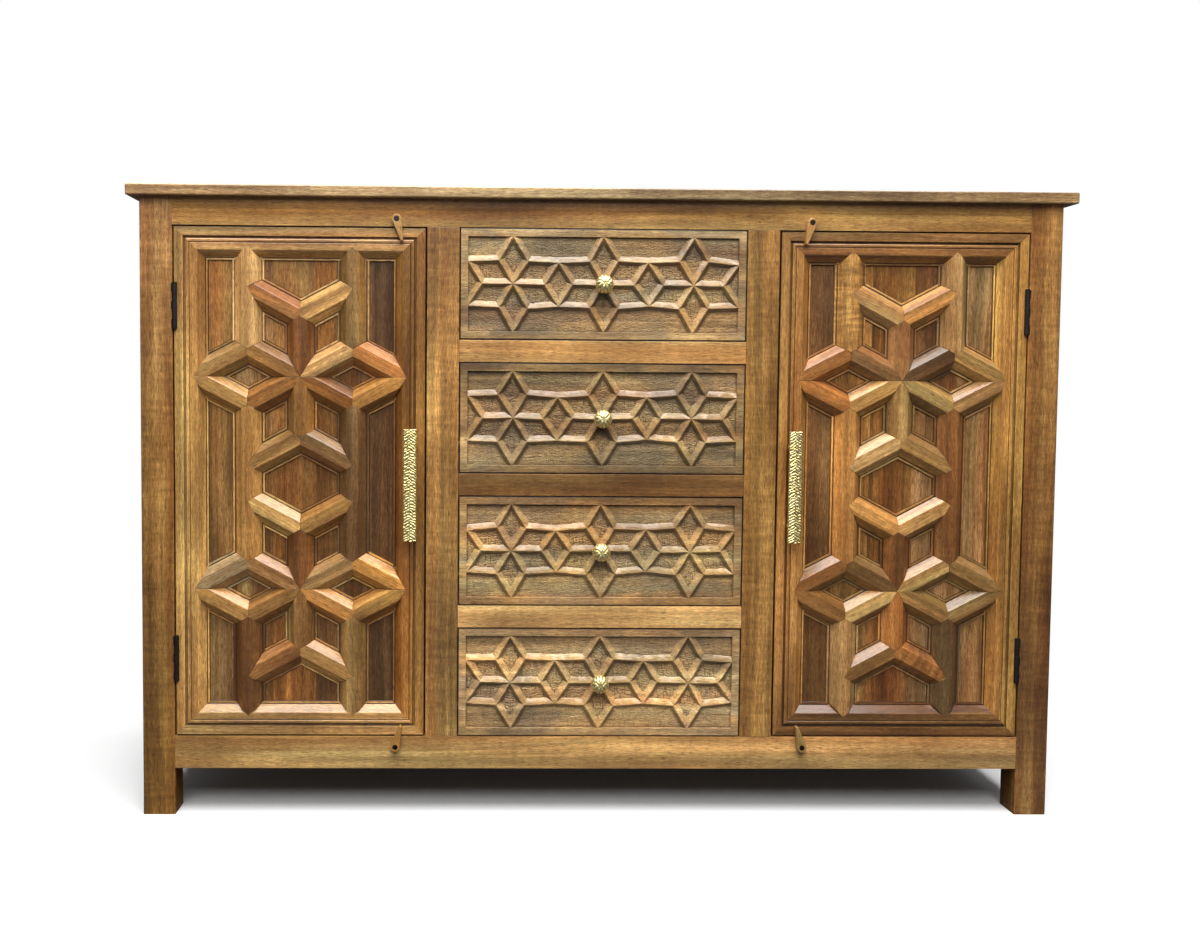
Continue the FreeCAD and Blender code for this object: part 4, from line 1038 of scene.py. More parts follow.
@dataclass
class Carcass:
    """Posts, rails, panels, shelves and the top."""

    ease: float = 0.0012
    band: float = 0.019
    band_shadow: float = 0.38

    def build(self) -> None:
        """Makes every fixed piece of wood and dresses the fixed metal."""
        for side, _ in SIDES:
            for number, end in enumerate(("front", "back")):
                self.piece(f"leg_{end}_{side}", POST_WOOD, POST_SHADES[side], 11 + number)
            self.piece(f"stile_{side}", POST_WOOD, STILE_SHADES[side], 14)
            for seed, name in enumerate(("side_panel", "partition", "shelf"), start=15):
                self.piece(f"{name}_{side}", INNER_WOOD, Shade.INNER, seed)
        self.piece("top_board", TOP_WOOD, Shade.SILVER, 21)
        self.paint_overhang_shadow(self.piece("rail_front_top", RAIL_WOOD, Shade.GOLD, 62))
        self.piece("rail_front_bottom", RAIL_WOOD, (Shade.STRAW, Shade.TAN), 53)
        for number, shade in enumerate((Shade.CREAM, Shade.BROWN, Shade.WHEAT), start=1):
            self.piece(f"drawer_rail_{number}", RAIL_WOOD, shade, 24 + number)
        self.piece("side_rails", RAIL_WOOD, Shade.RAIL, 31)
        inner = ("back_rails", "back_panel", "bottom_board", "drawer_runners", "shelf_cleats")
        for seed, node in enumerate(inner, start=32):
            self.piece(node, INNER_WOOD, Shade.INNER, seed)
        for node in ("hinge_frame_leaves", "hinge_pins"):
            dress(node, IRON)
        dress("button_screws", STEEL)

    def piece(self, node: str, finish: TimberFinish, shade: Stain, seed: int) -> bpy.types.Object:
        """Makes one fixed piece of wood from its node."""
        return Joinery(f"{node}_wood", [node], "root", finish, [shade], self.ease, seed=seed).build()

    def paint_overhang_shadow(self, rail: bpy.types.Object) -> None:
        """Paints the shadow of the top board's overhang as a darker band along the top rail's upper part."""
        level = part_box("rail_front_top")[1].z - self.band
        bm = bmesh.new()
        bm.from_mesh(rail.data)
        parts = bm.verts[:] + bm.edges[:] + bm.faces[:]
        bmesh.ops.bisect_plane(bm, geom=parts, plane_co=(0, 0, level), plane_no=(0, 0, 1))
        crease = bm.faces.layers.float["crease"]
        for face in bm.faces:
            if face.calc_center_median().z > level:
                # Painted shadow of the overhang
                face[crease] = max(face[crease], self.band_shadow)
        bm.to_mesh(rail.data)
        bm.free()


def dress(node: str, finish: MetalFinish) -> None:
    """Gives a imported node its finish."""
    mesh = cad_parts[node].data
    mesh.materials.clear()
    mesh.materials.append(finish.material())


# The bars of each star, lower star first: the left and then the right rhombus (lower inner, lower outer,
# upper inner, upper outer), then the upright and the two arms below the star, and those above it. The
# columns on the left and right follow, each from the bottom up.
BAR_SHADES = {
    "left": named_shades(
        "GOLD GOLD TAN SILVER HONEY AMBER TAN AMBER OLIVE RUSSET STRAW SEPIA STRAW HONEY "
        "HONEY GOLD HONEY OLIVE CHESTNUT AMBER TAN ORANGE HONEY OLIVE PINK RUST RUSSET STRAW "
        "SEPIA GOLD TAN OLIVE UMBER OLIVE"
    ),
    "right": named_shades(
        "STRAW HONEY OLIVE HONEY OLIVE OLIVE OLIVE OLIVE ORANGE HONEY ORANGE SEPIA GOLD STRAW "
        "GOLD ORANGE PINK ORANGE OLIVE TAN UMBER GOLD OLIVE TAN OLIVE PINK TAN GOLD "
        "TAN HONEY HONEY UMBER RUST TAN"
    ),
}
CURLY_BARS: dict[str, tuple[int, ...]] = {"left": (), "right": (10, 30)}
PLANK_SHADES: dict[str, tuple[Stain, ...]] = {
    "left": (
        (Shade.UMBER, Shade.HONEY), (Shade.OLIVE, Shade.DRIFT), (Shade.ORANGE, Shade.OLIVE),
        (Shade.WALNUT, Shade.CHESTNUT), Shade.WALNUT,
    ),
    "right": (
        (Shade.BROWN, Shade.WALNUT), (Shade.OLIVE, Shade.CHESTNUT), (Shade.RUST, Shade.CHESTNUT),
        (Shade.DRIFT, Shade.RUST), (Shade.PINK, Shade.UMBER),
    ),
}
# The left, the right, the lower and the upper member
FRAME_SHADES = {
    "left": named_shades("GOLD CHESTNUT CREAM TAN"),
    "right": named_shades("HONEY AMBER SEPIA BROWN"),
}
# How far each door's lower right corner is rounded
LOWER_CORNERS = {"left": 0.006, "right": 0.0}


@dataclass
class Door:
    """A moulded frame, a lattice of bars, planks behind it, a pull and hinge leaves."""

    side: str
    sign: int
    bar_shades: Sequence[Shade]
    plank_shades: Sequence[Stain]
    frame_shades: Sequence[Shade]
    rounded: float = 0.0
    ease: float = 0.0008
    plank_ease: float = 0.0005
    waver: float = 0.0003
    # Steps round each bar on the planks: a painted shadow line outside, a painted highlight on the step and
    # painted shade at the bar's foot
    lips: Sequence[Profile] = (
        (0.0042, 0.0004, "crease"), (0.0030, 0.0023, "arris"), (0.0004, 0.0026, "crease"),
    )

    def build(self) -> None:
        """Makes the door's pieces."""
        body = f"door_{self.side}"
        seed = 40 + self.sign
        MouldedFrame(
            f"{body}_frame_wood", [f"{body}_frame"], body, FRAME_WOOD, self.frame_shades, seed=seed,
            rounded=self.rounded,
        ).build()
        Joinery(
            f"{body}_lattice_wood", [f"{body}_lattice"], body, LATTICE_WOOD, self.bar_shades, self.ease,
            waver=self.waver, seed=seed + 10, lips=self.lips, curly=CURLY_BARS[self.side],
        ).build()
        Joinery(
            f"{body}_boards_wood", [f"{body}_boards"], body, PLANK_WOOD, self.plank_shades, self.plank_ease,
            seed=seed + 20,
        ).build()
        dress(f"{body}_hinge_leaves", IRON)
        dress(f"{body}_handle_screws", STEEL)
        Pull(self.side).build()


@dataclass
class Pull:
    """A flat bar of brass, hammered in two slanting rows, on two round posts."""

    side: str
    thickness: float = 0.005
    grid: float = 0.0007
    pitch: float = 0.0048
    lean: float = 0.55
    row_shift: float = 0.0011
    valley: float = 0.0013
    skin: float = 0.00005
    dent: float = 0.0010
    round_off: float = 0.0007
    round_width: float = 0.0012
    post_radius: float = 0.0065
    post_spacing: float = 0.128
    post_ease: float = 0.0004
    post_sides: int = 40

    def build(self) -> bpy.types.Object:
        """Makes the bar and its posts.

        Returns:
            The finished piece.
        """
        node = f"door_{self.side}_handle"
        low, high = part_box(node)
        centre = (low + high) / 2
        parts = [self.bar(low, high)]
        start = low.y + self.thickness / 2
        for way in (-1, 1):
            place = (centre.x, centre.z + way * self.post_spacing / 2)
            parts.append(level_rod(place, self.post_radius, start, high.y, self.post_sides, self.post_ease))
        bar = join(parts, f"{node}_hammered", BRASS)
        smooth(bar, 50)
        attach(bar, f"door_{self.side}")
        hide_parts(node)
        LOG.info("%s: %d faces", bar.name, len(bar.data.polygons))
        return bar

    def bar(self, low: Vector, high: Vector) -> bpy.types.Object:
        """Makes the hammered bar.

        Args:
            low: The pull's lowest corner.
            high: The pull's highest corner.

        Returns:
            The bar.
        """
        width, height = high.x - low.x, high.z - low.z
        centre = (low + high) / 2
        bar = front_grid((centre.x, low.y, centre.z), width, height, self.grid)
        bpy.ops.object.mode_set(mode="EDIT")
        bpy.ops.mesh.select_all(action="SELECT")
        bpy.ops.mesh.extrude_region_move(TRANSFORM_OT_translate={"value": (0, self.thickness, 0)})
        bpy.ops.mesh.select_all(action="SELECT")
        bpy.ops.mesh.normals_make_consistent(inside=False)
        bpy.ops.object.mode_set(mode="OBJECT")
        recess = np.zeros(len(bar.data.vertices))
        for index, vertex in enumerate(bar.data.vertices):
            if vertex.co.y > low.y + self.thickness / 2:
                continue
            x, z = vertex.co.x - centre.x, vertex.co.z
            edge = min(width / 2 - abs(x), height / 2 - abs(z - centre.z))
            blow = self.blow(x, z)
            recess[index] = blow
            rounding = self.round_off * max(0.0, 1 - edge / self.round_width) ** 2
            vertex.co.y += self.skin + self.dent * blow + rounding
        store(bar.data, "recess", recess)
        return bar

    def blow(self, x: float, z: float) -> float:
        """How deep the hammer's marks are at a place, from 0 to 1."""
        way = 1 if x > 0 else -1
        wander = noise.noise(Vector((x * 260, way * 3.0, z * 150)))
        run = z + self.lean * abs(x) + self.row_shift * way
        wave = math.cos(2 * math.pi * run / self.pitch + 3.2 * wander)
        cross = noise.noise(Vector((x * 420, 7.0, z * 420)))
        valley = max(0.0, 1 - abs(x) / self.valley) * 0.5
        return min(1.0, max(0.0, 0.35 - 0.95 * wave + 0.9 * cross + valley))


def unit(start: Place, end: Place) -> Place:
    """The direction from one point of the front to another."""
    length = math.dist(start, end)
    return (end[0] - start[0]) / length, (end[1] - start[1]) / length


@dataclass
class CarvedFront:
    """A drawer front with three stars of sharp ribs left standing on a gouged ground."""

    number: int
    shade: Shade
    rim: float = 0.0125
    # Width of the outer band that gets a painted shadow beside the gaps, also the rim's first inset
    gap_shadow: float = 0.0011
    depth: float = 0.005
    ease: float = 0.0007
    stars: int = 3
    slant_share: float = 0.157
    sag: float = 0.0036
    sag_range: Place = (0.6, 1.3)
    slack: float = 0.0011
    snap: float = 0.02
    crown: float = 0.0006
    sunny_foot: float = 0.0096
    shaded_foot: float = 0.0064
    toe: float = 0.0006
    crown_drop: float = 0.0002
    crown_wear: float = 0.0004
    toe_rise: float = 0.0003
    toe_wear: float = 0.0003
    buried: float = 0.0007
    knife: float = 0.0004
    step: float = 0.005
    ground_step: float = 0.0022
    ground_rise: float = 0.0003
    swell: float = 0.00035
    dab: float = 0.00025
    shadow: float = 0.004
    board_light: float = 0.45
    joint_light: float = 0.6
    plain_ground: float = 0.45

    def build(self) -> bpy.types.Object:
        """Makes the board, its ground and its ribs as one piece.

        Returns:
            The finished piece.
        """
        node = f"drawer_{self.number}_front"
        self.low, self.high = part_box(node)
        self.chance = random.Random(self.number)
        self.joints, self.ribs = self.pattern()
        board = join([self.board(), self.ground(), self.rib_mesh()], f"{node}_carved", DRAWER_WOOD)
        layer = board.data.attributes.new("board", "INT", "FACE")
        layer.data.foreach_set("value", np.zeros(len(board.data.polygons), dtype=np.int32))
        lay_grain(board, [Vector((1, 0, 0))], [self.shade], 300 + self.number)
        smooth(board, 28)
        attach(board, f"drawer_{self.number}")
        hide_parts(node)
        LOG.info("%s: %d faces", board.name, len(board.data.polygons))
        return board

    def pattern(self) -> tuple[list[Place], list[Pair]]:
        """Lays out the stars' ribs.

        Returns:
            The joints, each a place on the front, and the ribs, each a pair of joints by number.
        """
        left, right = self.low.x + self.rim, self.high.x - self.rim
        base, top = self.low.z + self.rim, self.high.z - self.rim
        middle, tip = (base + top) / 2, (top - base) / 2
        pitch = (right - left) / self.stars
        slant = (self.slant_share * pitch, tip / 2)
        rays = [
            (pitch / 2 - slant[0], 0.0), slant, (-slant[0], slant[1]),
            (slant[0] - pitch / 2, 0.0), (-slant[0], -slant[1]), (slant[0], -slant[1]),
        ]
        joints: list[Place] = []
        ribs: set[Pair] = set()

        def joint(x: float, z: float) -> int:
            """The number of the joint at a place, which is a new one if the place is free."""
            for number, known in enumerate(joints):
                if math.dist(known, (x, z)) < self.snap * pitch:
                    return number
            joints.append((x, z))
            return len(joints) - 1

        for star in range(self.stars):
            centre = (left + pitch * (star + 0.5), middle)
            hub = joint(*centre)
            for first, second in zip(rays, rays[1:] + rays[:1]):
                far = (first[0] + second[0], first[1] + second[1])
                near, tip_joint, after = (
                    joint(centre[0] + at[0], centre[1] + at[1]) for at in (first, far, second)
                )
                for rib in ((hub, near), (near, tip_joint), (tip_joint, after)):
                    ribs.add((min(rib), max(rib)))
        self.middle, self.pitch, self.slant = middle, pitch, slant
        slack = self.slack
        uneven = []
        for x, z in joints:
            border = abs((x - left) / pitch - round((x - left) / pitch)) < self.snap
            inward = 0.0
            if border:
                inward = self.sag * self.chance.uniform(*self.sag_range) * (middle - z) / slant[1]
            moved = (x + self.chance.uniform(-slack, slack), z + inward + self.chance.uniform(-slack, slack))
            uneven.append(moved)
        return uneven, sorted(ribs)

    def board(self) -> bpy.types.Object:
        """The board with its rim and sunk field.

        Returns:
            The board.
        """
        deselect()
        low, high = self.low, self.high
        bpy.ops.mesh.primitive_cube_add(size=1, location=(low + high) / 2)
        board = bpy.context.active_object
        board.scale = high - low
        apply_place(board)
        bpy.ops.object.mode_set(mode="EDIT")
        bpy.ops.mesh.select_mode(type="FACE")
        bpy.ops.mesh.select_all(action="DESELECT")
        mesh = bmesh.from_edit_mesh(board.data)
        for face in mesh.faces:
            face.select_set(face.normal.y < -0.5)
        bmesh.update_edit_mesh(board.data)
        bpy.ops.mesh.inset(thickness=self.gap_shadow)
        bpy.ops.mesh.inset(thickness=self.rim - self.gap_shadow)
        bpy.ops.mesh.extrude_region_move(TRANSFORM_OT_translate={"value": (0, self.depth, 0)})
        bpy.ops.object.mode_set(mode="OBJECT")
        apply_modifier(board, "BEVEL", width=self.ease, segments=2, limit_method="ANGLE", material=1)
        mark_arrises(board)
        self.paint_gap_shadow(board.data)
        # The board itself gets neither painted light nor painted shade
        store(board.data, "painted_light", np.full(len(board.data.vertices), self.board_light))
        return board

    def paint_gap_shadow(self, mesh: bpy.types.Mesh) -> None:
        """Paints the shadow of the gaps onto the outer edges, which lose their painted highlight."""
        arris, crease = (mesh.attributes[name].data for name in ("arris", "crease"))
        for number, polygon in enumerate(mesh.polygons):
            x, _, z = polygon.center
            if min(x - self.low.x, self.high.x - x, z - self.low.z, self.high.z - z) < self.gap_shadow:
                arris[number].value, crease[number].value = 0.0, 1.0

    def ground(self) -> bpy.types.Object:
        """The sunk ground, uneven from the gouge.

        Returns:
            The ground.
        """
        width = self.high.x - self.low.x - 2 * self.rim
        height = self.high.z - self.low.z - 2 * self.rim
        floor = self.low.y + self.depth
        centre = ((self.low.x + self.high.x) / 2, floor, (self.low.z + self.high.z) / 2)
        ground = front_grid(centre, width, height, self.ground_step)
        mesh = ground.data
        points = vertex_places(mesh)
        for point in points:
            x, z = point[0], point[2]
            swell = noise.noise(Vector((x * 55, self.number * 9.0, z * 90)))
            dab = noise.noise(Vector((x * 170, self.number * 3.0, z * 260)))
            point[1] = floor - self.ground_rise - self.swell * swell - self.dab * dab
        mesh.vertices.foreach_set("co", points.ravel())
        self.shade_ground(mesh, points[:, [0, 2]])
        return ground

    def shade_ground(self, mesh: bpy.types.Mesh, places: np.ndarray) -> None:
        """Stores the painted shade on the ground beside ribs and rim, and where the gouge was used most.

        Args:
            mesh: The ground's mesh.
            places: The places of its vertices on the front.
        """
        joints = np.array(self.joints)
        reach = np.full(len(places), 1.0)
        for a, b in self.ribs:
            run = joints[b] - joints[a]
            share = np.clip((places - joints[a]) @ run / (run @ run), 0, 1)
            near = joints[a] + share[:, None] * run
            reach = np.minimum(reach, np.linalg.norm(places - near, axis=1) - self.shaded_foot)
        corner = np.array([self.low.x, self.low.z]) + self.rim
        far = np.array([self.high.x, self.high.z]) - self.rim
        reach = np.minimum(reach, np.minimum(places - corner, far - places).min(axis=1))
        # Painted shadow: the ground darkens within a few millimetres of ribs and rim
        store(mesh, "painted_light", 0.16 + 0.26 * np.clip(reach / self.shadow, 0, 1))
        across = (places[:, 0] - corner[0]) % self.pitch - self.pitch / 2
        up = np.abs(places[:, 1] - self.middle)
        lozenge = np.abs(across) / self.slant[0] + np.abs(up - self.slant[1]) / self.slant[1] < 1
        store(mesh, "ground", np.where(lozenge | (up < self.slant[1]), 1.0, self.plain_ground))

    def level_points(self, joint: int, level: int) -> dict[tuple[int, int], Place]:
        """Where the lines of one level of two neighbouring ribs meet, round a joint.

        Args:
            joint: The joint's number.
            level: Which line of the section: 0 the crown's edge, 1 the toe, 2 the foot.

        Returns:
            A place for each pair of far joints, the second next after the first anticlockwise.
        """
        place = self.joints[joint]
        ways = []
        for a, b in self.ribs:
            if joint in (a, b):
                far = b if a == joint else a
                way = unit(place, self.joints[far])
                ways.append((math.atan2(way[1], way[0]), far, way))
        ways.sort()
        found = {}
        for (first_angle, first, first_way), (angle, second, way) in zip(ways, ways[1:] + ways[:1]):
            turn = (angle - first_angle) % (2 * math.pi)
            left = (-first_way[1], first_way[0])
            near = self.offset(level, left[1])
            far_side = self.offset(level, -way[0])
            along = 0.0
            if abs(math.sin(turn)) > 0.03:
                along = (far_side + near * math.cos(turn)) / math.sin(turn)
            found[first, second] = (
                place[0] + first_way[0] * along + left[0] * near,
                place[1] + first_way[1] * along + left[1] * near,
            )
        return found

    def sunny(self, rise: float) -> float:
        """How much a side of a rib faces up, from 0 to 1, by the upward part of its direction."""
        return 0.5 + 0.5 * max(-1.0, min(1.0, 2 * rise))

    def offset(self, level: int, rise: float) -> float:
        """How far a line of the section lies from the rib's axis, on a side that faces up or down."""
        foot = self.shaded_foot + (self.sunny_foot - self.shaded_foot) * self.sunny(rise)
        return (self.crown, foot - self.toe, foot)[level]

    def depth_at(self, level: int, place: Place) -> float:
        """How deep a line of the section lies at a place, uneven as hand work is."""
        jog = noise.noise(Vector((place[0] * 120, self.number * 5.0 + level, place[1] * 120)))
        crown = self.low.y + self.crown_drop + self.crown_wear * (0.5 + 0.5 * jog)
        floor = self.low.y + self.depth
        return (crown, floor - self.toe_rise + self.toe_wear * jog, floor + self.buried)[level]

    def rib_mesh(self) -> bpy.types.Object:
        """The ribs, each a strip on either side of its crown, mitred at the joints.

        Returns:
            The ribs.
        """
        bm = bmesh.new()
        painted_light = bm.verts.layers.float.new("painted_light")
        numbers = range(len(self.joints))
        meets = {(joint, level): self.level_points(joint, level) for joint in numbers for level in (0, 1, 2)}
        for a, b in self.ribs:
            count = max(2, round(math.dist(self.joints[a], self.joints[b]) / self.step))
            rows = []
            for start, end, level, sunny in self.rib_lines(meets, a, b):
                places = (
                    (start[0] + (end[0] - start[0]) * n / count, start[1] + (end[1] - start[1]) * n / count)
                    for n in range(count + 1)
                )
                rows.append([self.rib_vertex(bm, painted_light, place, level, sunny) for place in places])
            for upper, lower in zip(rows, rows[1:]):
                for n in range(count):
                    bm.faces.new((upper[n], upper[n + 1], lower[n + 1], lower[n]))
        for joint in numbers:
            crown = list(meets[joint, 0].values())
            if len(crown) > 2:
                # The crowns where ribs meet get a little painted highlight
                bm.faces.new([self.rib_vertex(bm, painted_light, place, 0, self.joint_light) for place in crown])
        for face in bm.faces:
            face.normal_update()
            if face.normal.y > 0:
                face.normal_flip()
        mesh = bpy.data.meshes.new("ribs")
        bm.to_mesh(mesh)
        bm.free()
        return new_object("ribs", mesh)

    def rib_lines(
        self, meets: dict[Pair, dict[Pair, Place]], a: int, b: int,
    ) -> list[tuple[Place, Place, int, float]]:
        """The lines of one rib's section, from the foot on one side over the crown to the other foot.

        Args:
            meets: Where the ribs' lines meet, by joint and level.
            a: The joint that the rib starts from.
            b: The joint that it runs to.

        Returns:
            Each line's start, end and level, and how much its side faces up.
        """
        way = unit(self.joints[a], self.joints[b])
        lines = []
        for levels, near, far, rise in (((2, 1, 0), 0, 1, way[0]), ((0, 1, 2), 1, 0, -way[0])):
            for level in levels:
                start = next(at for pair, at in meets[a, level].items() if pair[near] == b)
                end = next(at for pair, at in meets[b, level].items() if pair[far] == a)
                lines.append((start, end, level, self.sunny(rise)))
        return lines

    def rib_vertex(
        self, bm: bmesh.types.BMesh, painted_light: bmesh.types.BMLayerItem, place: Place, level: int, sunny: float,
    ) -> bmesh.types.BMVert:
        """A vertex of a level's line, pushed about by the knife."""
        push = [
            noise.noise(Vector((place[0] * 95 + shift, level * 2.0, place[1] * 95))) for shift in (0.0, 40.0)
        ]
        x, z = place[0] + push[0] * self.knife, place[1] + push[1] * self.knife
        vert = bm.verts.new((x, self.depth_at(level, place), z))
        # Painted light and shade: sides that face up are lighter, those that face down darker, and both darken
        # towards the foot
        vert[painted_light] = (0.25 + 0.75 * sunny, 0.12 + 0.62 * sunny, 0.16 * sunny)[level]
        return vert


@dataclass
class Knob:
    """A cast bud of small overlapping petals on a neck."""

    number: int
    petals: Sequence[tuple[float, float, int]] = (
        (8.0, 30.0, 6), (24.0, 50.0, 10), (43.0, 70.0, 13), (62.0, 90.0, 15), (82.0, 108.0, 15),
    )
    core_share: float = 0.86
    root_share: float = 0.80
    overlap: float = 1.04
    spring: float = 0.5
    widest: float = 0.9
    taper: float = 1.35
    skin: float = 0.875
    lift: float = 0.115
    fall: float = 0.045
    droop: float = 0.02
    rows: int = 5
    columns: int = 6
    ease: float = 0.0003

    def build(self) -> bpy.types.Object:
        """Makes the knob with its stud and nut.

        Returns:
            The finished piece.
        """
        node = f"drawer_{self.number}_knob"
        low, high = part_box(node)
        front_low, front_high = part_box(f"drawer_{self.number}_front")
        front, back = front_low.y, front_high.y
        self.radius = (high.x - low.x) / 2
        self.centre = Vector(((low.x + high.x) / 2, low.y + self.radius, (low.z + high.z) / 2))
        deselect()
        bpy.ops.mesh.primitive_uv_sphere_add(
            segments=48, ring_count=24, radius=self.radius * self.core_share, location=self.centre,
            rotation=FACING_FRONT,
        )
        parts = [bpy.context.active_object]
        apply_place(parts[0])
        for radius, start, end, sides in (
            (0.0062, front - 0.0075, front + 0.0002, 32), (0.0085, front - 0.0014, front + 0.0002, 40),
            (0.0025, front, high.y, 20), (0.0045, back, back + 0.004, 6),
        ):
            parts.append(level_rod((self.centre.x, self.centre.z), radius, start, end, sides, self.ease))
        for ring, (inner, outer, count) in enumerate(self.petals):
            parts.append(self.ring(ring, math.radians(inner), math.radians(outer), count))
        core = join(parts, f"{node}_cast", BRASS)
        smooth(core, 40)
        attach(core, f"drawer_{self.number}")
        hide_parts(node)
        LOG.info("%s: %d faces", core.name, len(core.data.polygons))
        return core

    def ring(self, ring: int, start: float, end: float, count: int) -> bpy.types.Object:
        """One ring of petals.

        Args:
            ring: The ring's number from the middle.
            start: The polar angle where the petals spring.
            end: The polar angle of their tips.
            count: How many there are.

        Returns:
            The ring.
        """
        bm = bmesh.new()
        recess = bm.verts.layers.float.new("recess")
        for number in range(count):
            middle = (number + 0.5 * (ring % 2)) * 2 * math.pi / count
            self.petal(bm, recess, middle, (start, end), math.pi / count)
        mesh = bpy.data.meshes.new("petals")
        bmesh.ops.recalc_face_normals(bm, faces=bm.faces)
        bm.to_mesh(mesh)
        bm.free()
        return new_object("petals", mesh)

    def petal(
        self, bm: bmesh.types.BMesh, recess: bmesh.types.BMLayerItem, middle: float, polars: Place, room: float,
    ) -> None:
        """Adds one petal, a bulged leaf whose border goes down into the core.

        Args:
            bm: The ring's mesh.
            recess: The layer that keeps how tarnished a vertex is.
            middle: The angle of the petal's middle round the knob.
            polars: The polar angles where it springs and where it ends.
            room: Half the angle that it has to itself.
        """
        grid = []
        for row in range(self.rows + 1):
            share = row / self.rows
            polar = polars[0] + (polars[1] - polars[0]) * share
            half = self.spring
            if share:
                narrowing = (2 * share - self.widest) ** 2 / self.taper
                half = room * self.overlap * math.sqrt(max(0.0, 1 - narrowing))
            line = []
            for column in range(self.columns + 1):
                side = 2 * column / self.columns - 1
                bulge = self.skin + self.lift * share - self.fall * side * side - self.droop * share * share
                tarnish = min(1.0, max(0.0, 1 - 2.4 * share) + 0.9 * side ** 4)
                line.append(self.vertex(bm, recess, polar, middle + side * half, self.radius * bulge, tarnish))
            grid.append(line)
        for upper, lower in zip(grid, grid[1:]):
            for n in range(self.columns):
                bm.faces.new((upper[n], upper[n + 1], lower[n + 1], lower[n]))
        right, left = [line[-1] for line in grid[1:]], [line[0] for line in grid[-2:0:-1]]
        border = grid[0] + right + grid[-1][-2::-1] + left
        sunk = []
        for vert in border:
            away = (vert.co - self.centre).normalized()
            root = bm.verts.new(self.centre + away * self.radius * self.root_share)
            root[recess] = 1.0
            sunk.append(root)
        for n, vert in enumerate(border):
            after = (n + 1) % len(border)
            bm.faces.new((border[after], vert, sunk[n], sunk[after]))

    def vertex(
        self, bm: bmesh.types.BMesh, recess: bmesh.types.BMLayerItem, polar: float, turn: float, radius: float,
        tarnish: float,
    ) -> bmesh.types.BMVert:
        """A vertex at a direction from the ball's middle, with how tarnished it is."""
        away = Vector((math.sin(polar) * math.cos(turn), -math.cos(polar), math.sin(polar) * math.sin(turn)))
        vert = bm.verts.new(self.centre + away * radius)
        vert[recess] = tarnish
        return vert


DRAWER_SHADES = (Shade.SILVER, Shade.SILVER, Shade.ASH, Shade.PALE)


@dataclass
class Drawer:
    """A carved front on its box, with a knob."""

    number: int
    shade: Shade

    def build(self) -> None:
        """Makes the drawer's pieces."""
        body = f"drawer_{self.number}"
        for part in ("box", "bottom"):
            Joinery(
                f"{body}_{part}_wood", [f"{body}_{part}"], body, INNER_WOOD, [Shade.INNER],
                seed=70 + self.number,
            ).build()
        CarvedFront(self.number, self.shade).build()
        Knob(self.number).build()


BUTTON_SHADES = {("lower", "right"): Shade.OLIVE, ("lower", "left"): Shade.AMBER}


@dataclass
class TurnButton:
    """A teardrop of wood that holds a door shut."""

    place: str
    side: str
    shade: Shade

    def build(self) -> None:
        """Makes the button with its soft edges."""
        node = f"turn_button_{self.place}_{self.side}"
        Joinery(
            f"{node}_wood", [node], f"button_{self.place}_{self.side}", BUTTON_WOOD, [self.shade], 0.0026,
            segments=4, seed=90 + len(node),
        ).build()


@dataclass(frozen=True)
class Lamp:
    """A soft rectangular lamp, with its power in watts and the point that it faces."""

    name: str
    place: tuple[float, float, float]
    size: Place
    power: float
    target: tuple[float, float, float]

    def hang(self) -> None:
        """Adds the lamp to the scene."""
        deselect()
        bpy.ops.object.light_add(type="AREA", location=self.place)
        lamp = bpy.context.active_object
        lamp.name = self.name
        lamp.data.shape = "RECTANGLE"
        lamp.data.size, lamp.data.size_y = self.size
        lamp.data.energy = self.power
        lamp.rotation_euler = (Vector(self.target) - Vector(self.place)).to_track_quat("-Z", "Y").to_euler()
        lamp.visible_camera = False


LAMPS = (
    Lamp("ceiling_lamp", (0.05, -0.75, 2.75), (2.6, 2.6), 172.0, (0.05, -0.75, 0.0)),
    Lamp("front_lamp", (-0.3, -3.4, 3.0), (2.6, 1.4), 72.0, (0.0, 0.0, 0.5)),
    Lamp("back_lamp", (0.6, 3.2, 2.4), (4.0, 1.4), 30.0, (0.0, 0.2, 0.5)),
)


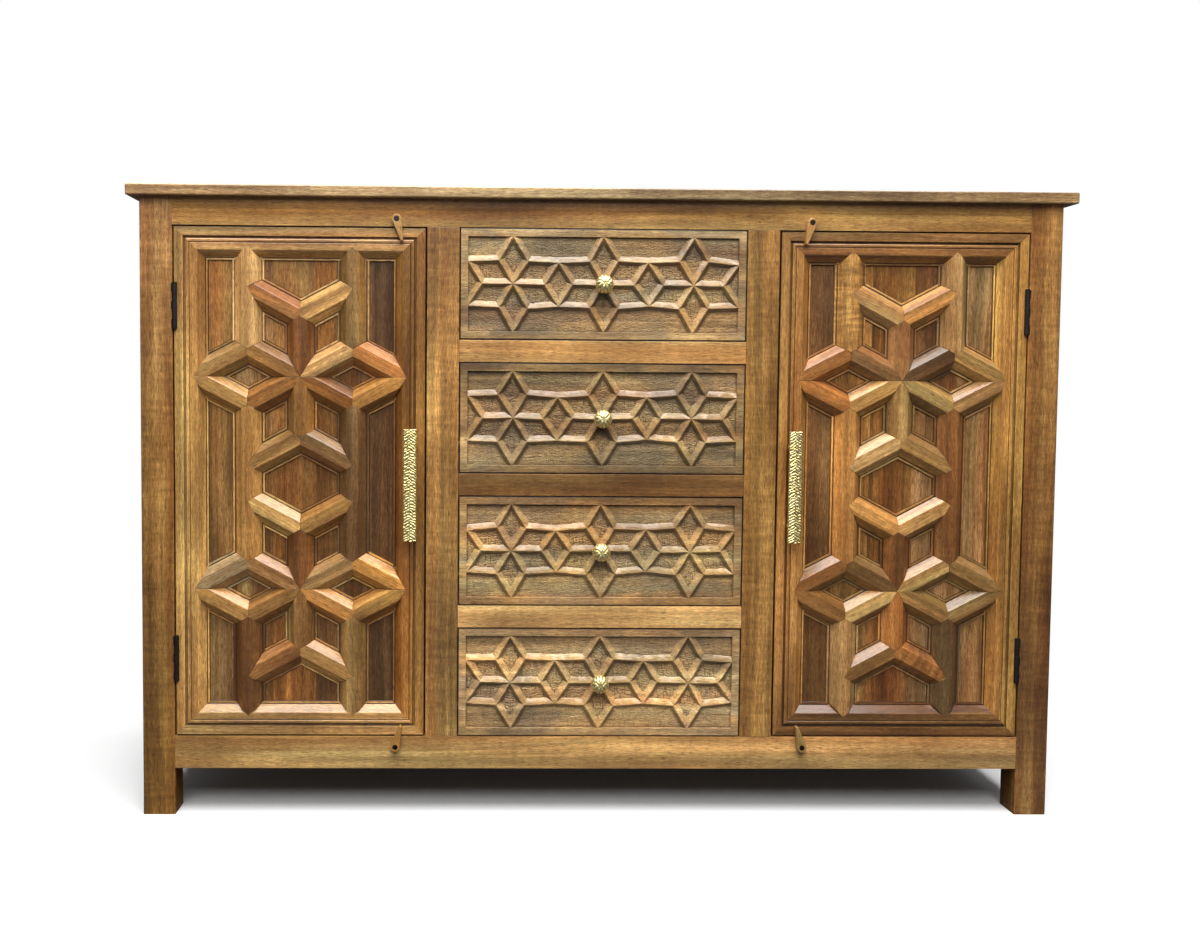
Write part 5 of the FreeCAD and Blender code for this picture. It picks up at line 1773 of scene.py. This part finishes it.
@dataclass
class Studio:
    """The floor, the lamps and the camera that took the photograph."""

    lens: float = 33.0
    sensor: float = 36.0
    place: tuple[float, float, float] = (-0.213, -1.9715, 0.715)
    yaw: float = -0.97
    pitch: float = -2.72
    roll: float = 0.41
    shift: Place = (0.0925, -0.0342)
    floor_size: float = 60.0
    near_floor: float = 0.72
    far_floor: float = 1.25
    ambient: float = 0.12

    def build(self) -> None:
        """Sets up the floor, the world, the lamps and the camera."""
        bpy.context.scene.view_settings.view_transform = "Standard"
        self.make_floor()
        self.make_world()
        for lamp in LAMPS:
            lamp.hang()
        self.make_camera()

    def make_floor(self) -> None:
        """A plain pale floor that looks white to the camera and keeps the shadow."""
        deselect()
        bpy.ops.mesh.primitive_plane_add(size=self.floor_size, location=(0, 0, 0))
        floor = bpy.context.active_object
        floor.name = "floor"
        material, tree = start_material("Pale floor")
        seen = tree.add("LightPath").outputs["Is Camera Ray"]
        colour = tree.mix(seen, (0.09, 0.088, 0.085, 1.0), (0.96, 0.96, 0.96, 1.0))
        shader = tree.add("BsdfPrincipled", {"Base Color": colour, "Roughness": 0.8, "Specular IOR Level": 0.1})
        away = tree.add("VectorMath", {0: tree.add("TexCoord").outputs["Object"]}, operation="LENGTH")
        far = tree.math("MULTIPLY", tree.span(away.outputs["Value"], self.near_floor, self.far_floor), seen)
        white = tree.add("Emission", {"Color": (1.0, 1.0, 1.0, 1.0), "Strength": 1.0})
        tree.finish(tree.add("MixShader", {0: far, 1: shader.outputs[0], 2: white.outputs[0]}))
        floor.data.materials.append(material)

    def make_world(self) -> None:
        """White behind the object, and a soft even light round it."""
        world = bpy.context.scene.world or bpy.data.worlds.new("World")
        bpy.context.scene.world = world
        world.use_nodes = True
        world.node_tree.nodes.clear()
        tree = Tree(world.node_tree)
        path = tree.add("LightPath")
        seen = tree.math("MAXIMUM", path.outputs["Is Camera Ray"], path.outputs["Is Transmission Ray"])
        strength = tree.math("MULTIPLY_ADD", seen, 1.0 - self.ambient, self.ambient)
        light = tree.add("Background", {"Color": (1.0, 1.0, 1.0, 1.0), "Strength": strength})
        tree.finish(light, "OutputWorld")

    def make_camera(self) -> None:
        """Stands the camera where the photograph was taken from."""
        data = bpy.data.cameras.new("camera")
        camera = bpy.data.objects.new("camera", data)
        bpy.context.scene.collection.objects.link(camera)
        data.lens, data.sensor_width = self.lens, self.sensor
        data.shift_x, data.shift_y = self.shift
        yaw, pitch, roll = (math.radians(angle) for angle in (self.yaw, self.pitch, self.roll))
        forward = Vector((-math.sin(yaw) * math.cos(pitch), math.cos(yaw) * math.cos(pitch), math.sin(pitch)))
        level = Vector((math.cos(yaw), math.sin(yaw), 0.0))
        upright = level.cross(forward)
        right = level * math.cos(roll) + upright * math.sin(roll)
        up = upright * math.cos(roll) - level * math.sin(roll)
        turn = Matrix((right, up, -forward)).transposed().to_4x4()
        camera.matrix_world = Matrix.Translation(Vector(self.place)) @ turn
        bpy.context.scene.camera = camera


def main() -> None:
    """Builds the sideboard's sub-assemblies in order, then the studio."""
    logging.basicConfig(level=logging.INFO, format="%(message)s")
    Carcass().build()
    for side, sign in SIDES:
        Door(
            side, sign, BAR_SHADES[side], PLANK_SHADES[side], FRAME_SHADES[side], LOWER_CORNERS[side],
        ).build()
        for place in ("upper", "lower"):
            TurnButton(place, side, BUTTON_SHADES.get((place, side), Shade.STRAW)).build()
    for number, shade in enumerate(DRAWER_SHADES, start=1):
        Drawer(number, shade).build()
    Studio().build()


if __name__ == "__main__":
    main()
